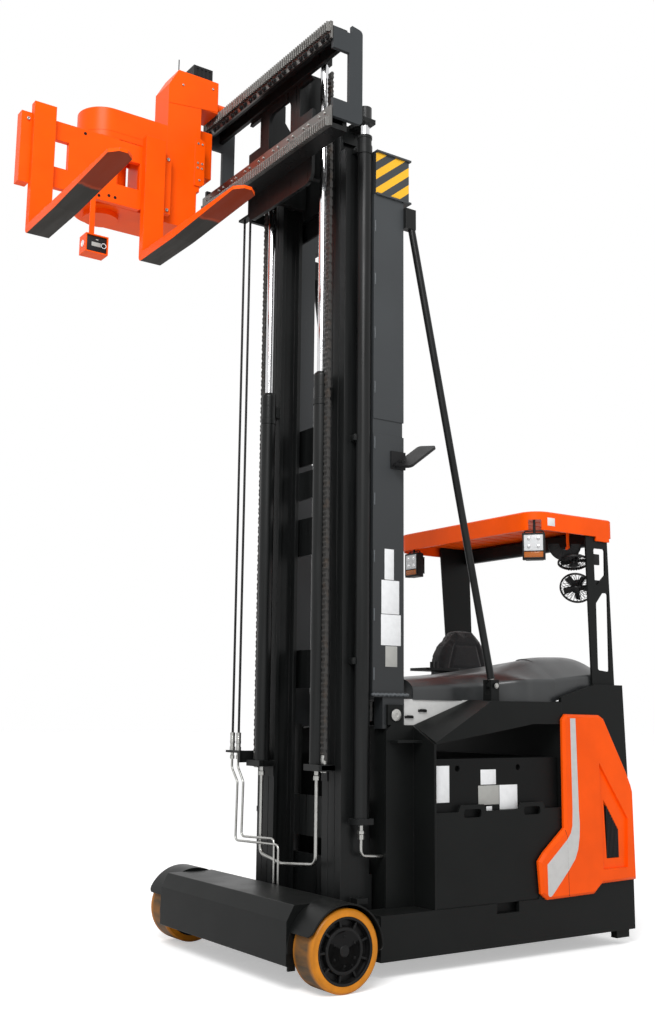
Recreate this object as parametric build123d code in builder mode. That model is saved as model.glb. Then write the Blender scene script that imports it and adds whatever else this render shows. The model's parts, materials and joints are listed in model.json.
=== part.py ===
"""Very narrow aisle forklift with a side-shifting swivel fork head, in millimetres.

X points forward to the load wheels, Y to the left side of the truck, Z up from the floor.
Lengths along the truck are measured from the load axle, which stands AXLE_X in front of the origin.
"""

import os
from math import cos, pi, radians, sin

from build123d import *

os.makedirs("parts", exist_ok=True)

# Overall sizes
TRUCK_REAR = -1956  # rear face of the body, from the load axle
HEAD_FRONT = 1225  # far end of the fork carriage, from the load axle
AXLE_X = -(TRUCK_REAR + HEAD_FRONT) / 2  # puts the origin under the middle of the truck
BODY_HALF = 625  # half the body's width
GAP = 5  # free space beside moving pieces
SEAT_GAP = 0.3  # free space between faces of different bodies that run on each other
SHEET = 12  # usual thickness of a body panel

# Load wheels and the beam between them
LOAD_WHEEL_R = 175
LOAD_WHEEL_WIDTH = 150
TYRE_THICK = 33
AXLE_R = 30
HUB_RIBS = 9
FENDER_IN = BODY_HALF - 28
FENDER_THICK = 7
FENDER_GAP = 15  # between tyre and fender
FENDER_START = 21  # degrees above level, in front
FENDER_END = 185
BEAM_FRONT = 198
BEAM_REAR = -100
BEAM_BOTTOM = 105
BEAM_SHOULDER = 290
BEAM_TOP = 356
BEAM_SLOPE = 38  # length of the chamfer along the beam's top edge
WHEEL_IN = FENDER_IN + FENDER_THICK + 4
WHEEL_OUT = WHEEL_IN + LOAD_WHEEL_WIDTH
FENDER_OUT = WHEEL_OUT + 7
FENDER_R = LOAD_WHEEL_R + FENDER_GAP

# Chassis
CHASSIS_BOTTOM = 75
PLATE = 20
RAIL_TOP = 275
REAR_RAIL_TOP = 327
CHASSIS_FRONT = -286
BAY_REAR = -1450  # rear end of the battery bay
POST_FRONT = -434
POST_REAR = -600
MAST_FOOT_TOP = 150
NOTCH = (-1130, -985)
NOTCH_DEPTH = 48
INNER = BODY_HALF - PLATE

# Battery
BATTERY_TOP = 960
BATTERY_HALF = BODY_HALF - 35
BATTERY_GAP = 12
COVER_TOP = 711
TAB_HEIGHT = 32
HAND_HOLES = (-842, -1235)

# Drive wheel under the cab
DRIVE_X = -1700
DRIVE_R = 203
DRIVE_WIDTH = 150
DRIVE_AXLE_R = 30
FLOOR_TOP = 600

# Mast, nested from outside to inside
RAIL_FRONT = -234
RAIL_REAR = -400
RAIL_WIDTH = 50
OUTER_RAIL = 380  # outer face of the outer rail, from the centre line
RAIL_STEP = 20  # each rail inside is this much less deep, which leaves room for its ties
TIE = 15  # thickness of the cross ties behind the rails
MAST_TOP = 4058
MAST_LIFTED = 60  # how far each stage stands above the one outside it
RAIL_BOTTOM = 160  # lowest end of the moving rails when the mast is down
WEB = 12
FLANGE = 20
SIDE_BOX = 70  # width of the stiffening box beside each outer rail
SIDE_BOX_FRONT = -364
SIDE_BOX_REAR = -554
SIDE_BOX_BOTTOM = 1250
SIDE_BOX_TOP = 3812
STRIPE_BOX = (-590, -375)
PIN_X = -490
PIN_Z = 1165
PIN_R = 30
SIDE_BOX_OUT = OUTER_RAIL + SIDE_BOX
POST_IN = SIDE_BOX_OUT + 2
POST_PLATE = 15

# Lift cylinders
LIFT_X = -322
LIFT_R = 36
LIFT_Y = OUTER_RAIL + LIFT_R + GAP
LIFT_ROD_R = 25
LIFT_TUBE_BOTTOM = 685
LIFT_TUBE_TOP = 4125
LIFT_CAP_TOP = 4283
GLAND = 60  # length of the close-fitting collar at the top of each tube
FREE_X = -180
FREE_Y = 253
FREE_R = 37.5
FREE_ROD_R = 22
FREE_TUBE_TOP = 2850
FREE_STROKE = 1620
FREE_ROD_INSIDE = 250  # how much of the rod stays in its tube when it is out
FREE_TUBE_BOTTOM = FREE_TUBE_TOP - FREE_STROKE - FREE_ROD_INSIDE - 50
PULLEY_X = -130
PULLEY_Z = 4600
PULLEY_R = 50
CHAIN_Y = 310
CHAIN_WIDTH = 34
CHAIN_STEP = 254  # one broad and one narrow stretch, for every ten links of the chain
HOSE_R = 6.5
HOSE_X = -130
HOSE_Y = (-473, -410)
HOSE_LOW = 975
HOSE_HIGH = 3930

# Carriage and the beams that the head runs along
UPPER_BEAM = (4442, 4528)
LOWER_BEAM = (3984, 4085)
TRAVERSE_HALF = 650
BEAM_BACK = -60
BEAM_FACE = 41
RACK_MODULE = 6
TOOTH_DEPTH = 13
RACK_FRONT = BEAM_FACE + 28
END_PLATE_REAR = -140
END_PLATE_TOP = 4540
END_PLATE_BOTTOM = 4034
ARM_IN = 165
ARM_PLATE = 30
ARM_BOTTOM = 3940  # lowest, the arms stay above the pipes over the mast's foot
CARRIAGE_BOTTOM = 3850

# Head column, swivel and forks
HEAD_Y = -450  # left face of the head column
HEAD_DEPTH = 292
TOWER_DEPTH = 168  # depth of the column's slim upper part
TOWER_RISE = 175  # how far the column stands above the upper beam
HEAD_CLEAR = 7
HEAD_FACE = 385
HEAD_WAIST = 180  # rear edge of the column's left face between the beams
HEAD_FOOT = 197  # and below the lower beam
HEAD_BOTTOM = 3786
HEAD_TOP = UPPER_BEAM[1] + TOWER_RISE
DRUM_R = HEAD_DEPTH / 2
SWIVEL_X = 693
SWIVEL_Y = HEAD_Y - DRUM_R
ARM_TOP = 4350
ARM_UNDER = 3800
UPPER_ARM = 130
LOWER_ARM = 80
FORK_PLATE_Y = -395
FORK_PLATE = 30
FORK_UNDER = 3500
FORK_TOP = 4200
FORK_TIP = 640
FORK_CENTRES = (495.5, 1112.5)
FORK_WIDTH = 115
FORK_THICK = 45
FORK_BAR = (3790, 4150)
FORK_WINDOWS = ((565, 695), (965, 1050))
WINDOW_Z = (3900, 4050)

# Cab
ROOF_TOP = 2240
ROOF_FRONT = -1310
ROOF_REAR = -1905
ROOF_HALF = BODY_HALF - 25
ROOF_SKIRT = 100
REAR_SKIRT = 124  # depth of the skirt behind the seam
ROOF_SEAM = -1774
ROOF_SHEET = 12
SILL_TOP = 1336
SIDE_TOP = 1245  # top of the side beams and of the body beside the hood
CREST_TOP = 1487
SEAT_X = -1690
CUSHION_TOP = 1060
SEAT_HEIGHT = 1700
COVER_DEPTH = 26
PILLAR_TOP = ROOF_TOP - 45
PILLAR_Y = ROOF_HALF - ROOF_SHEET - 1


def side(y):
    """Side view plane at y: drawn in length from the load axle and height, extruded to the right."""
    return Plane(origin=(AXLE_X, y, 0), x_dir=(1, 0, 0), z_dir=(0, -1, 0))


def across(x):
    """Cross plane at x from the load axle: drawn in width and height, extruded forward."""
    return Plane(origin=(AXLE_X + x, 0, 0), x_dir=(0, 1, 0), z_dir=(1, 0, 0))


def plan(z):
    """Level plane at height z: drawn in length from the load axle and width, extruded upward."""
    return Plane(origin=(AXLE_X, 0, z))


def block(x, y, z, mode=Mode.ADD):
    """A block between two values on each axis, x from the load axle."""
    with Locations((AXLE_X + sum(x) / 2, sum(y) / 2, sum(z) / 2)):
        Box(abs(x[1] - x[0]), abs(y[1] - y[0]), abs(z[1] - z[0]), mode=mode)


def post(x, y, radius, z, mode=Mode.ADD):
    """An upright cylinder between two heights."""
    with Locations((AXLE_X + x, y, sum(z) / 2)):
        Cylinder(radius, z[1] - z[0], mode=mode)


def rod(plane, x, y, radius, length, mode=Mode.ADD):
    """A cylinder that stands on a plane at x, y in that plane."""
    with BuildSketch(plane) as disc:
        with Locations((x, y)):
            Circle(radius)
    extrude(disc.sketch, amount=length, mode=mode)


def panel(plane, outline, thickness, mode=Mode.ADD, round_r=0, taper=0):
    """A flat plate with a polygon outline, its corners rounded where round_r is given."""
    with BuildSketch(plane) as face:
        with BuildLine():
            if round_r:
                FilletPolyline(*outline, radius=round_r, close=True)
            else:
                Polyline(*outline, close=True)
        make_face()
    extrude(face.sketch, amount=thickness, mode=mode, taper=taper)


def pipe(points, radius, bend):
    """An eight-sided pipe along straight runs, each corner cut by one short run."""
    route = [Vector(*points[0])]
    for before, corner, after in zip(points, points[1:], points[2:]):
        for end in (before, after):
            route.append(Vector(*corner) + (Vector(*end) - Vector(*corner)).normalized() * bend)
    route.append(Vector(*points[-1]))
    with BuildLine() as path:
        Polyline(*[point + Vector(AXLE_X, 0, 0) for point in route])
    with BuildSketch(Plane(origin=path.line @ 0, z_dir=path.line % 0)) as ring:
        RegularPolygon(radius, 8)
    sweep(ring.sketch, path=path.line, transition=Transition.RIGHT)


def save(node, builder):
    """Label a finished piece and write its STEP file."""
    builder.part.label = node
    export_step(builder.part, f"parts/{node}.step")


# Chassis: two side rails, a floor under the battery, the mast foot and the open drive bay
with BuildPart() as chassis_frame:
    panel(side(BODY_HALF), [
        (CHASSIS_FRONT, CHASSIS_BOTTOM), (CHASSIS_FRONT, RAIL_TOP), (NOTCH[1], RAIL_TOP),
        (NOTCH[1], RAIL_TOP - NOTCH_DEPTH), (NOTCH[0], RAIL_TOP - NOTCH_DEPTH), (NOTCH[0], RAIL_TOP),
        (-1262, RAIL_TOP), (-1300, REAR_RAIL_TOP), (TRUCK_REAR, REAR_RAIL_TOP), (TRUCK_REAR, CHASSIS_BOTTOM),
    ], PLATE)
    mirror(about=Plane.XZ)
    block((BAY_REAR, CHASSIS_FRONT), (-INNER, INNER), (CHASSIS_BOTTOM, CHASSIS_BOTTOM + PLATE))
    block((BAY_REAR - PLATE, BAY_REAR), (-INNER, INNER), (CHASSIS_BOTTOM, REAR_RAIL_TOP))
    block((TRUCK_REAR, TRUCK_REAR + PLATE), (-INNER, INNER), (CHASSIS_BOTTOM, REAR_RAIL_TOP))
    block((POST_REAR - PLATE, POST_REAR), (-INNER, INNER), (CHASSIS_BOTTOM, RAIL_TOP))
    block((POST_REAR, BEAM_REAR), (-POST_IN, POST_IN), (CHASSIS_BOTTOM + PLATE, MAST_FOOT_TOP))
    for s in (-1, 1):
        block((CHASSIS_FRONT, BEAM_REAR), (s * (POST_IN + POST_PLATE), s * (FENDER_IN - 8)),
              (CHASSIS_BOTTOM + PLATE, RAIL_TOP - PLATE))
        block((POST_REAR, CHASSIS_FRONT), (s * POST_IN, s * INNER), (RAIL_TOP - PLATE, RAIL_TOP))
        block((CHASSIS_FRONT - PLATE, CHASSIS_FRONT), (s * POST_IN, s * INNER), (CHASSIS_BOTTOM, RAIL_TOP))
        block((-1925, -1830), (s * (BODY_HALF - 55), s * (BODY_HALF - 15)), (35, CHASSIS_BOTTOM))
save("chassis_frame", chassis_frame)

# Two rounded plates on each front corner, which carry the aisle guide rollers
with BuildPart() as guide_brackets:
    for low, high in ((232, 262), (150, 185)):
        with BuildSketch(plan(low)) as plate:
            with BuildLine():
                FilletPolyline(
                    (CHASSIS_FRONT, BODY_HALF - 150), (-215, BODY_HALF - 150), (-215, BODY_HALF - 8),
                    (CHASSIS_FRONT, BODY_HALF - 8), radius=60,
                )
                Line((CHASSIS_FRONT, BODY_HALF - 8), (CHASSIS_FRONT, BODY_HALF - 150))
            make_face()
        extrude(plate.sketch, amount=high - low)
    mirror(about=Plane.XZ)
    inner_leg = FENDER_IN - 8
    for s in (-1, 1):
        block((CHASSIS_FRONT, BEAM_REAR), (s * POST_IN, s * inner_leg), (CHASSIS_BOTTOM, RAIL_TOP),
              mode=Mode.SUBTRACT)
save("guide_brackets", guide_brackets)

# Front beam between the load wheels
with BuildPart() as front_beam:
    panel(side(FENDER_IN), [
        (BEAM_REAR, BEAM_BOTTOM), (BEAM_REAR, BEAM_TOP), (BEAM_FRONT - BEAM_SLOPE, BEAM_TOP),
        (BEAM_FRONT, BEAM_SHOULDER), (BEAM_FRONT, BEAM_BOTTOM),
    ], 2 * FENDER_IN, round_r=6)
    block((150, 186), (FENDER_IN - 12, FENDER_IN), (BEAM_BOTTOM - PLATE, BEAM_BOTTOM + 10))
save("front_beam", front_beam)

# Fenders: a rolled cover over each load wheel, with the end plate and the wheel's axle stub
FENDER_SKIN = FENDER_R + FENDER_THICK
STUB_OUT = WHEEL_OUT - 22
with BuildPart() as front_fenders:
    with BuildSketch(side(FENDER_OUT)) as strip:
        with BuildLine():
            sweep_angle = FENDER_END - FENDER_START
            CenterArc((0, LOAD_WHEEL_R), FENDER_R, FENDER_START, sweep_angle)
            CenterArc((0, LOAD_WHEEL_R), FENDER_SKIN, FENDER_START, sweep_angle)
            for a in (radians(FENDER_START), radians(FENDER_END)):
                Line(
                    (FENDER_R * cos(a), LOAD_WHEEL_R + FENDER_R * sin(a)),
                    (FENDER_SKIN * cos(a), LOAD_WHEEL_R + FENDER_SKIN * sin(a)),
                )
        make_face()
    extrude(strip.sketch, amount=FENDER_OUT - FENDER_IN)
    corners = front_fenders.edges().filter_by(lambda e: abs(e.length - FENDER_THICK) < 0.01)
    fillet(corners.filter_by_position(Axis.Y, FENDER_OUT - 1, FENDER_OUT + 1), 35)
    with BuildSketch(side(FENDER_IN + FENDER_THICK)) as plate:
        with Locations((0, LOAD_WHEEL_R)):
            Circle(FENDER_SKIN)
        with Locations((0, LOAD_WHEEL_R - FENDER_SKIN / 2 - 17)):
            Rectangle(3 * FENDER_SKIN, FENDER_SKIN, mode=Mode.SUBTRACT)
    extrude(plate.sketch, amount=FENDER_THICK)
    rod(side(STUB_OUT), 0, LOAD_WHEEL_R, AXLE_R, STUB_OUT - FENDER_IN)
    mirror(about=Plane.XZ)
save("front_fenders", front_fenders)

# Load wheels: a bevelled tyre on a dished hub with radial ribs and a round cap
TYRE_IN = LOAD_WHEEL_R - TYRE_THICK
CAP_R = 0.58 * LOAD_WHEEL_R
HUB_RECESS = 34
for name, s in (("left", 1), ("right", -1)):
    wheel_axis = Axis((AXLE_X, 0, LOAD_WHEEL_R), (0, 1, 0))
    wheel_plane = Plane(origin=(AXLE_X, 0, LOAD_WHEEL_R), x_dir=(0, 1, 0), z_dir=(1, 0, 0))
    near, far = s * WHEEL_OUT, s * WHEEL_IN
    bevel = 8
    with BuildPart() as tyre:
        with BuildSketch(wheel_plane):
            with BuildLine():
                Polyline(
                    (far, TYRE_IN), (near, TYRE_IN), (near, LOAD_WHEEL_R - bevel),
                    (near - s * bevel, LOAD_WHEEL_R), (far + s * bevel, LOAD_WHEEL_R),
                    (far, LOAD_WHEEL_R - bevel), close=True,
                )
            make_face()
        revolve(axis=wheel_axis)
    save(f"tyre_{name}", tyre)
    with BuildPart() as hub:
        floor = near - s * HUB_RECESS
        bore = AXLE_R + SEAT_GAP
        with BuildSketch(wheel_plane):
            with BuildLine():
                Polyline(
                    (far, bore), (far, TYRE_IN), (near - s * 2, TYRE_IN), (floor, TYRE_IN - 18),
                    (floor, CAP_R), (near - s * 10, CAP_R - 5), (near - s * 10, 0),
                    (near - s * 21, 0), (near - s * 21, bore), close=True,
                )
            make_face()
        revolve(axis=wheel_axis)
        for i in range(HUB_RIBS):
            angle = 360 * i / HUB_RIBS
            spoke = Plane(origin=(AXLE_X, floor - s * 2, LOAD_WHEEL_R), x_dir=(1, 0, 0), z_dir=(0, s, 0))
            with BuildSketch(spoke.rotated((0, angle, 0))) as rib:
                with Locations(((CAP_R + TYRE_IN - 15) / 2, 0)):
                    Rectangle(TYRE_IN - 15 - CAP_R + 6, 9)
            extrude(rib.sketch, amount=HUB_RECESS - 10)
    save(f"hub_{name}", hub)

# Drive unit under the cab: a steered yoke with its motor housing, and the drive wheel
YOKE_IN = DRIVE_WIDTH / 2 + 15
YOKE_OUT = YOKE_IN + 50
YOKE_TOP = DRIVE_R * 2 + 24
FLOOR_UNDER = FLOOR_TOP - 13
with BuildPart() as drive_unit:
    post(DRIVE_X, 0, 110, (YOKE_TOP, FLOOR_UNDER - SEAT_GAP))
    post(DRIVE_X, 0, 165, (YOKE_TOP - 16, YOKE_TOP + 14))
    for s in (-1, 1):
        block((DRIVE_X - 55, DRIVE_X + 55), (s * YOKE_IN, s * YOKE_OUT), (DRIVE_R, YOKE_TOP - 16))
        rod(side(s * YOKE_IN), DRIVE_X, DRIVE_R, 55, -s * (YOKE_OUT - YOKE_IN))
    rod(side(YOKE_IN), DRIVE_X, DRIVE_R, DRIVE_AXLE_R, 2 * YOKE_IN)
save("drive_unit", drive_unit)

with BuildPart() as drive_wheel:
    rod(side(DRIVE_WIDTH / 2), DRIVE_X, DRIVE_R, DRIVE_R, DRIVE_WIDTH)
    chamfer(drive_wheel.edges().filter_by(GeomType.CIRCLE), 8)
    rod(side(DRIVE_WIDTH / 2), DRIVE_X, DRIVE_R, DRIVE_AXLE_R + SEAT_GAP, DRIVE_WIDTH, mode=Mode.SUBTRACT)
save("drive_wheel", drive_wheel)

# Battery and its cover plates
with BuildPart() as battery:
    block((BAY_REAR + BATTERY_GAP, POST_REAR - PLATE - BATTERY_GAP), (-BATTERY_HALF, BATTERY_HALF),
          (CHASSIS_BOTTOM + PLATE, BATTERY_TOP))
    for s in (-1, 1):
        for x in (-771, -1169):
            rod(side(s * BATTERY_HALF), x, BATTERY_TOP - 46, 15, s * 20, mode=Mode.SUBTRACT)
save("battery", battery)

COVER_Y = BODY_HALF - 6
COVER_FRONT = POST_REAR - SHEET
with BuildPart() as battery_covers:
    tabs = []
    for x in HAND_HOLES:
        tabs += [(x + 90, COVER_TOP), (x + 74, COVER_TOP + TAB_HEIGHT), (x - 74, COVER_TOP + TAB_HEIGHT),
                 (x - 90, COVER_TOP)]
    panel(side(COVER_Y), [
        (COVER_FRONT, RAIL_TOP), (COVER_FRONT, COVER_TOP), *tabs, (BAY_REAR, COVER_TOP),
        (BAY_REAR, REAR_RAIL_TOP), (-1300, REAR_RAIL_TOP), (-1262, RAIL_TOP),
    ], SHEET)
    for x in HAND_HOLES:
        with BuildSketch(side(COVER_Y)) as slot:
            with Locations((x, COVER_TOP - 8)):
                RectangleRounded(112, 40, 14)
        extrude(slot.sketch, amount=SHEET, mode=Mode.SUBTRACT)
    mirror(about=Plane.XZ)
save("battery_covers", battery_covers)

# Mast support posts: a side plate with the mast's pin, a front plate and a gusset
POST_TOP = 1118
POST_LOW_TOP = 1030
with BuildPart() as mast_support_posts:
    panel(side(POST_IN + POST_PLATE), [
        (POST_REAR, RAIL_TOP), (POST_FRONT, RAIL_TOP), (POST_FRONT, POST_TOP - 30),
        (POST_FRONT - 30, POST_TOP), (PIN_X + 45, POST_TOP), (PIN_X + 45, PIN_Z + 50),
        (PIN_X - 45, PIN_Z + 50), (PIN_X - 45, POST_TOP),
        (POST_REAR, POST_TOP),
    ], POST_PLATE)
    rod(side(POST_IN + POST_PLATE), PIN_X, PIN_Z, PIN_R, POST_PLATE, mode=Mode.SUBTRACT)
    panel(across(POST_REAR - SHEET), [
        (POST_IN, RAIL_TOP), (BODY_HALF, RAIL_TOP), (BODY_HALF, POST_LOW_TOP), (POST_IN, POST_TOP),
    ], SHEET)
    block((POST_REAR - SHEET, POST_FRONT - 20), (POST_IN, POST_IN + 80), (POST_LOW_TOP + 5, POST_LOW_TOP + 17))
    mirror(about=Plane.XZ)
save("mast_support_posts", mast_support_posts)

# Raised side beams that run back from the posts, with the lower brackets of the mast struts
STRUT_R = 19
STRUT_TOP = (-598, 3720)
STRUT_END = (-1024, 1335)
STRUT_OUT = BODY_HALF - 65
STRUT_PIN_Z = STRUT_END[1] - 20
STRUT_PIN_R = 9
with BuildPart() as side_beams:
    for x, outer_low, outer_high, inner_high in (
        (BAY_REAR, 1128, SIDE_TOP - 6, SIDE_TOP),
        (-1250, 1128, SIDE_TOP - 6, SIDE_TOP),
        (-970, 1084, SIDE_TOP - 6, SIDE_TOP),
        (POST_REAR - SHEET, POST_LOW_TOP, POST_LOW_TOP + 8, POST_TOP),
    ):
        with BuildSketch(across(x)):
            with BuildLine():
                Polyline(
                    (POST_IN, outer_low), (BODY_HALF, outer_low), (BODY_HALF, outer_high),
                    (POST_IN, inner_high), close=True,
                )
            make_face()
    loft(ruled=True)
    bracket = (STRUT_END[0] - 26, STRUT_END[0] + 26)
    block(bracket, (STRUT_OUT - 30, STRUT_OUT + 30), (SIDE_TOP - 60, STRUT_END[1] - 60))
    for s in (-1, 1):
        block(bracket, (STRUT_OUT + s * 16, STRUT_OUT + s * 30), (STRUT_END[1] - 60, STRUT_END[1] + 10))
    rod(side(STRUT_OUT + 38), STRUT_END[0], STRUT_PIN_Z, STRUT_PIN_R + SEAT_GAP, 76, mode=Mode.SUBTRACT)
    mirror(about=Plane.XZ)
save("side_beams", side_beams)

# Body around the cab: side panels, a rear wall with the entry, a front wall and the floor
REAR_TOP = TRUCK_REAR + 42
ENTRY = (-300, 330)
with BuildPart() as rear_body:
    outline = [
        (BAY_REAR, REAR_RAIL_TOP), (BAY_REAR, SIDE_TOP + 20), (-1708, SILL_TOP), (REAR_TOP, SILL_TOP),
        (TRUCK_REAR + 2, REAR_RAIL_TOP),
    ]
    panel(side(BODY_HALF), outline, PLATE)
    panel(side(-INNER), outline, PLATE)
    panel(side(INNER), [
        (REAR_TOP, SILL_TOP), (REAR_TOP + PLATE, SILL_TOP), (TRUCK_REAR + 2 + PLATE, REAR_RAIL_TOP),
        (TRUCK_REAR + 2, REAR_RAIL_TOP),
    ], 2 * INNER)
    block((TRUCK_REAR - 10, REAR_TOP + 60), ENTRY, (FLOOR_TOP + 20, SILL_TOP + 10), mode=Mode.SUBTRACT)
    block((BAY_REAR - PLATE, BAY_REAR), (-INNER, INNER), (FLOOR_UNDER, SIDE_TOP))
    block((TRUCK_REAR + 30, BAY_REAR - PLATE), (-INNER, INNER), (FLOOR_UNDER, FLOOR_TOP))
save("rear_body", rear_body)

# Moulded hood over the battery: narrow behind the mast, with shoulders on the side beams behind it
HOOD_HALF = POST_IN
HOOD_CROWN = 390  # half width of its level top
SHOULDER_HALF = PILLAR_Y
SHOULDER_FRONT = STRUT_END[0] - 32
SEAT_SLOPE = 6 * (SHOULDER_HALF - POST_IN) / (BODY_HALF - POST_IN)


def hood_section(x, half, edge, left, right):
    """A cross section of the hood: upright sides up to an edge, slanted shoulders, and a crown that
    may stand higher on the left."""
    seat = ()
    base = SIDE_TOP
    if half > POST_IN:
        seat = ((POST_IN, SIDE_TOP), (-POST_IN, SIDE_TOP))
        base -= SEAT_SLOPE
    with BuildSketch(across(x)) as section:
        with BuildLine():
            Polyline((-half, base), (-half, edge), (-HOOD_CROWN, right), (HOOD_CROWN, left), (half, edge),
                     (half, base), *seat, close=True)
        make_face()
    return section.sketch


with BuildPart() as hood:
    loft([
        hood_section(x, HOOD_HALF, edge, left, right)
        for x, edge, left, right in ((POST_REAR - SHEET, 1300, 1345, 1345), (SHOULDER_FRONT, 1325, 1384, 1375))
    ], ruled=True)
    loft([
        hood_section(x, SHOULDER_HALF, edge, left, right)
        for x, edge, left, right in (
            (SHOULDER_FRONT, 1322, 1384, 1375), (-1240, 1349, 1412, 1385), (BAY_REAR, 1354, 1472, 1395),
        )
    ], ruled=True)
save("hood", hood)

# Raised cowl beside the driver: the hood's left shoulder carried on past the seat
COWL_OUT = PILLAR_Y - SHEET - 2
COWL_IN = COWL_OUT - 330
with BuildPart() as cowl:
    for x, low, edge, crown in (
        (BAY_REAR, SIDE_TOP, 1354, 1472), (-1640, SIDE_TOP + 50, 1376, CREST_TOP),
        (-1800, SILL_TOP - 30, 1392, CREST_TOP), (-1885, SILL_TOP - 10, 1360, 1420),
    ):
        with BuildSketch(across(x)):
            with BuildLine():
                Polyline(
                    (COWL_IN, low), (COWL_IN, crown - 40), (COWL_IN + 50, crown), (COWL_OUT - 183, crown),
                    (COWL_OUT, edge), (COWL_OUT, low), close=True,
                )
            make_face()
    loft(ruled=True)
save("cowl", cowl)

# Moulded side covers with a scooped recess round a louvred vent
COVER_OUT = BODY_HALF + COVER_DEPTH
VENT = [(-1728, 742), (-1832, 588), (-1834, 444), (-1742, 444)]
with BuildPart() as side_covers:
    panel(side(COVER_OUT), [
        (-1437, 1152), (-1462, 1179), (-1706, 1176), (-1743, 1157), (-1904, 880), (-1936, 814), (-1948, 776),
        (TRUCK_REAR, 327), (-1700, 322), (-1640, 276), (-1307, 270), (-1265, 301), (-1251, 456), (-1289, 497),
        (-1434, 610),
    ], COVER_DEPTH)
    chamfer(side_covers.faces().sort_by(Axis.Y)[-1].edges(), 13)
    panel(side(COVER_OUT), [(-1690, 930), (-1895, 640), (-1885, 392), (-1702, 392)], 14, mode=Mode.SUBTRACT)
    panel(side(COVER_OUT), VENT, COVER_DEPTH, mode=Mode.SUBTRACT)
    mirror(about=Plane.XZ)
save("side_covers", side_covers)

with BuildPart() as cover_vents:
    for i in range(9):
        x = -1748 - 10 * i
        slat_top = VENT[0][1] + (x - VENT[0][0]) * 1.48
        block((x - 3, x + 3), (BODY_HALF + 1, COVER_OUT - 12), (446, slat_top - 6))
    block((-1832, -1744), (BODY_HALF, BODY_HALF + 3), (446, 580))
    mirror(about=Plane.XZ)
save("cover_vents", cover_vents)

# Overhead guard: a rounded tray with planks underneath
with BuildPart() as roof:
    with BuildSketch(plan(ROOF_TOP - ROOF_SKIRT)):
        with Locations(((ROOF_REAR + ROOF_FRONT) / 2, 0)):
            Rectangle(ROOF_FRONT - ROOF_REAR, 2 * ROOF_HALF)
    extrude(amount=ROOF_SKIRT)
    fillet(roof.edges().filter_by(Axis.Z).group_by(Axis.X)[-1], 110)
    fillet(roof.edges().filter_by(Axis.Z).group_by(Axis.X)[0], 30)
    chamfer(roof.faces().sort_by(Axis.Z)[-1].edges(), 7)
    with BuildSketch(plan(ROOF_TOP - ROOF_SKIRT)):
        with Locations(((ROOF_REAR + ROOF_FRONT) / 2, 0)):
            RectangleRounded(ROOF_FRONT - ROOF_REAR - 2 * ROOF_SHEET, 2 * (ROOF_HALF - ROOF_SHEET), 25)
    extrude(amount=ROOF_SKIRT - 45, mode=Mode.SUBTRACT)
    for i in range(11):
        y = 100 * (i - 5)
        block((ROOF_REAR + 40, ROOF_FRONT - 60), (y - 8, y + 8), (ROOF_TOP - 46, ROOF_TOP - 25),
              mode=Mode.SUBTRACT)
    for y in (-ROOF_HALF, ROOF_HALF - ROOF_SHEET):
        block((ROOF_REAR + 30, ROOF_SEAM), (y, y + ROOF_SHEET), (ROOF_TOP - REAR_SKIRT, ROOF_TOP - ROOF_SKIRT))
save("roof", roof)

PILLAR_FOOT = REAR_TOP + PLATE - 60 * (REAR_TOP - TRUCK_REAR - 2) / (SILL_TOP - REAR_RAIL_TOP)
with BuildPart() as rear_pillars:
    panel(side(PILLAR_Y), [
        (-1727, SILL_TOP - 60), (-1702, PILLAR_TOP), (-1868, PILLAR_TOP), (REAR_TOP + PLATE, SILL_TOP),
        (PILLAR_FOOT, SILL_TOP - 60),
    ], SHEET)
    panel(side(PILLAR_Y), [(-1762, 2076), (-1852, 2078), (-1849, 1934), (-1767, 1862)], SHEET,
          mode=Mode.SUBTRACT, round_r=12)
    panel(side(PILLAR_Y), [(-1821, 1833), (-1771, 1775), (-1772, 1415), (-1862, 1407), (-1866, 1836)],
          SHEET, mode=Mode.SUBTRACT, round_r=12)
    panel(side(-ROOF_HALF + 40), [
        (-1705, SILL_TOP - 60), (-1637, PILLAR_TOP), (-1868, PILLAR_TOP), (REAR_TOP + PLATE, SILL_TOP),
        (PILLAR_FOOT, SILL_TOP - 60),
    ], SHEET)
save("rear_pillars", rear_pillars)

with BuildPart() as roof_rear_beam:
    block((-1875, -1825), (-ROOF_HALF + 41, PILLAR_Y - SHEET), (2105, 2190))
    fillet(roof_rear_beam.edges().filter_by(Axis.Y), 14)
save("roof_rear_beam", roof_rear_beam)

# Driver's seat, facing the truck's left side
SEAT_BACK_Y = -395
BACK_THICK = 95
with BuildPart() as seat_frame:
    block((SEAT_X - 150, SEAT_X + 150), (-370, -60), (FLOOR_TOP, CUSHION_TOP - 120))
    block((SEAT_X - 110, SEAT_X + 110), (SEAT_BACK_Y - BACK_THICK - 25, -60),
          (CUSHION_TOP - 150, CUSHION_TOP - 120))
    block((SEAT_X - 110, SEAT_X + 110), (SEAT_BACK_Y - BACK_THICK - 25, SEAT_BACK_Y - BACK_THICK - SEAT_GAP),
          (CUSHION_TOP - 120, SEAT_HEIGHT - 150))
save("seat_frame", seat_frame)
with BuildPart() as seat_cushion:
    block((SEAT_X - 200, SEAT_X + 200), (SEAT_BACK_Y + 1, 60), (CUSHION_TOP - 120 + SEAT_GAP, CUSHION_TOP))
    fillet(seat_cushion.edges().filter_by(Axis.Z), 50)
save("seat_cushion", seat_cushion)
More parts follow.
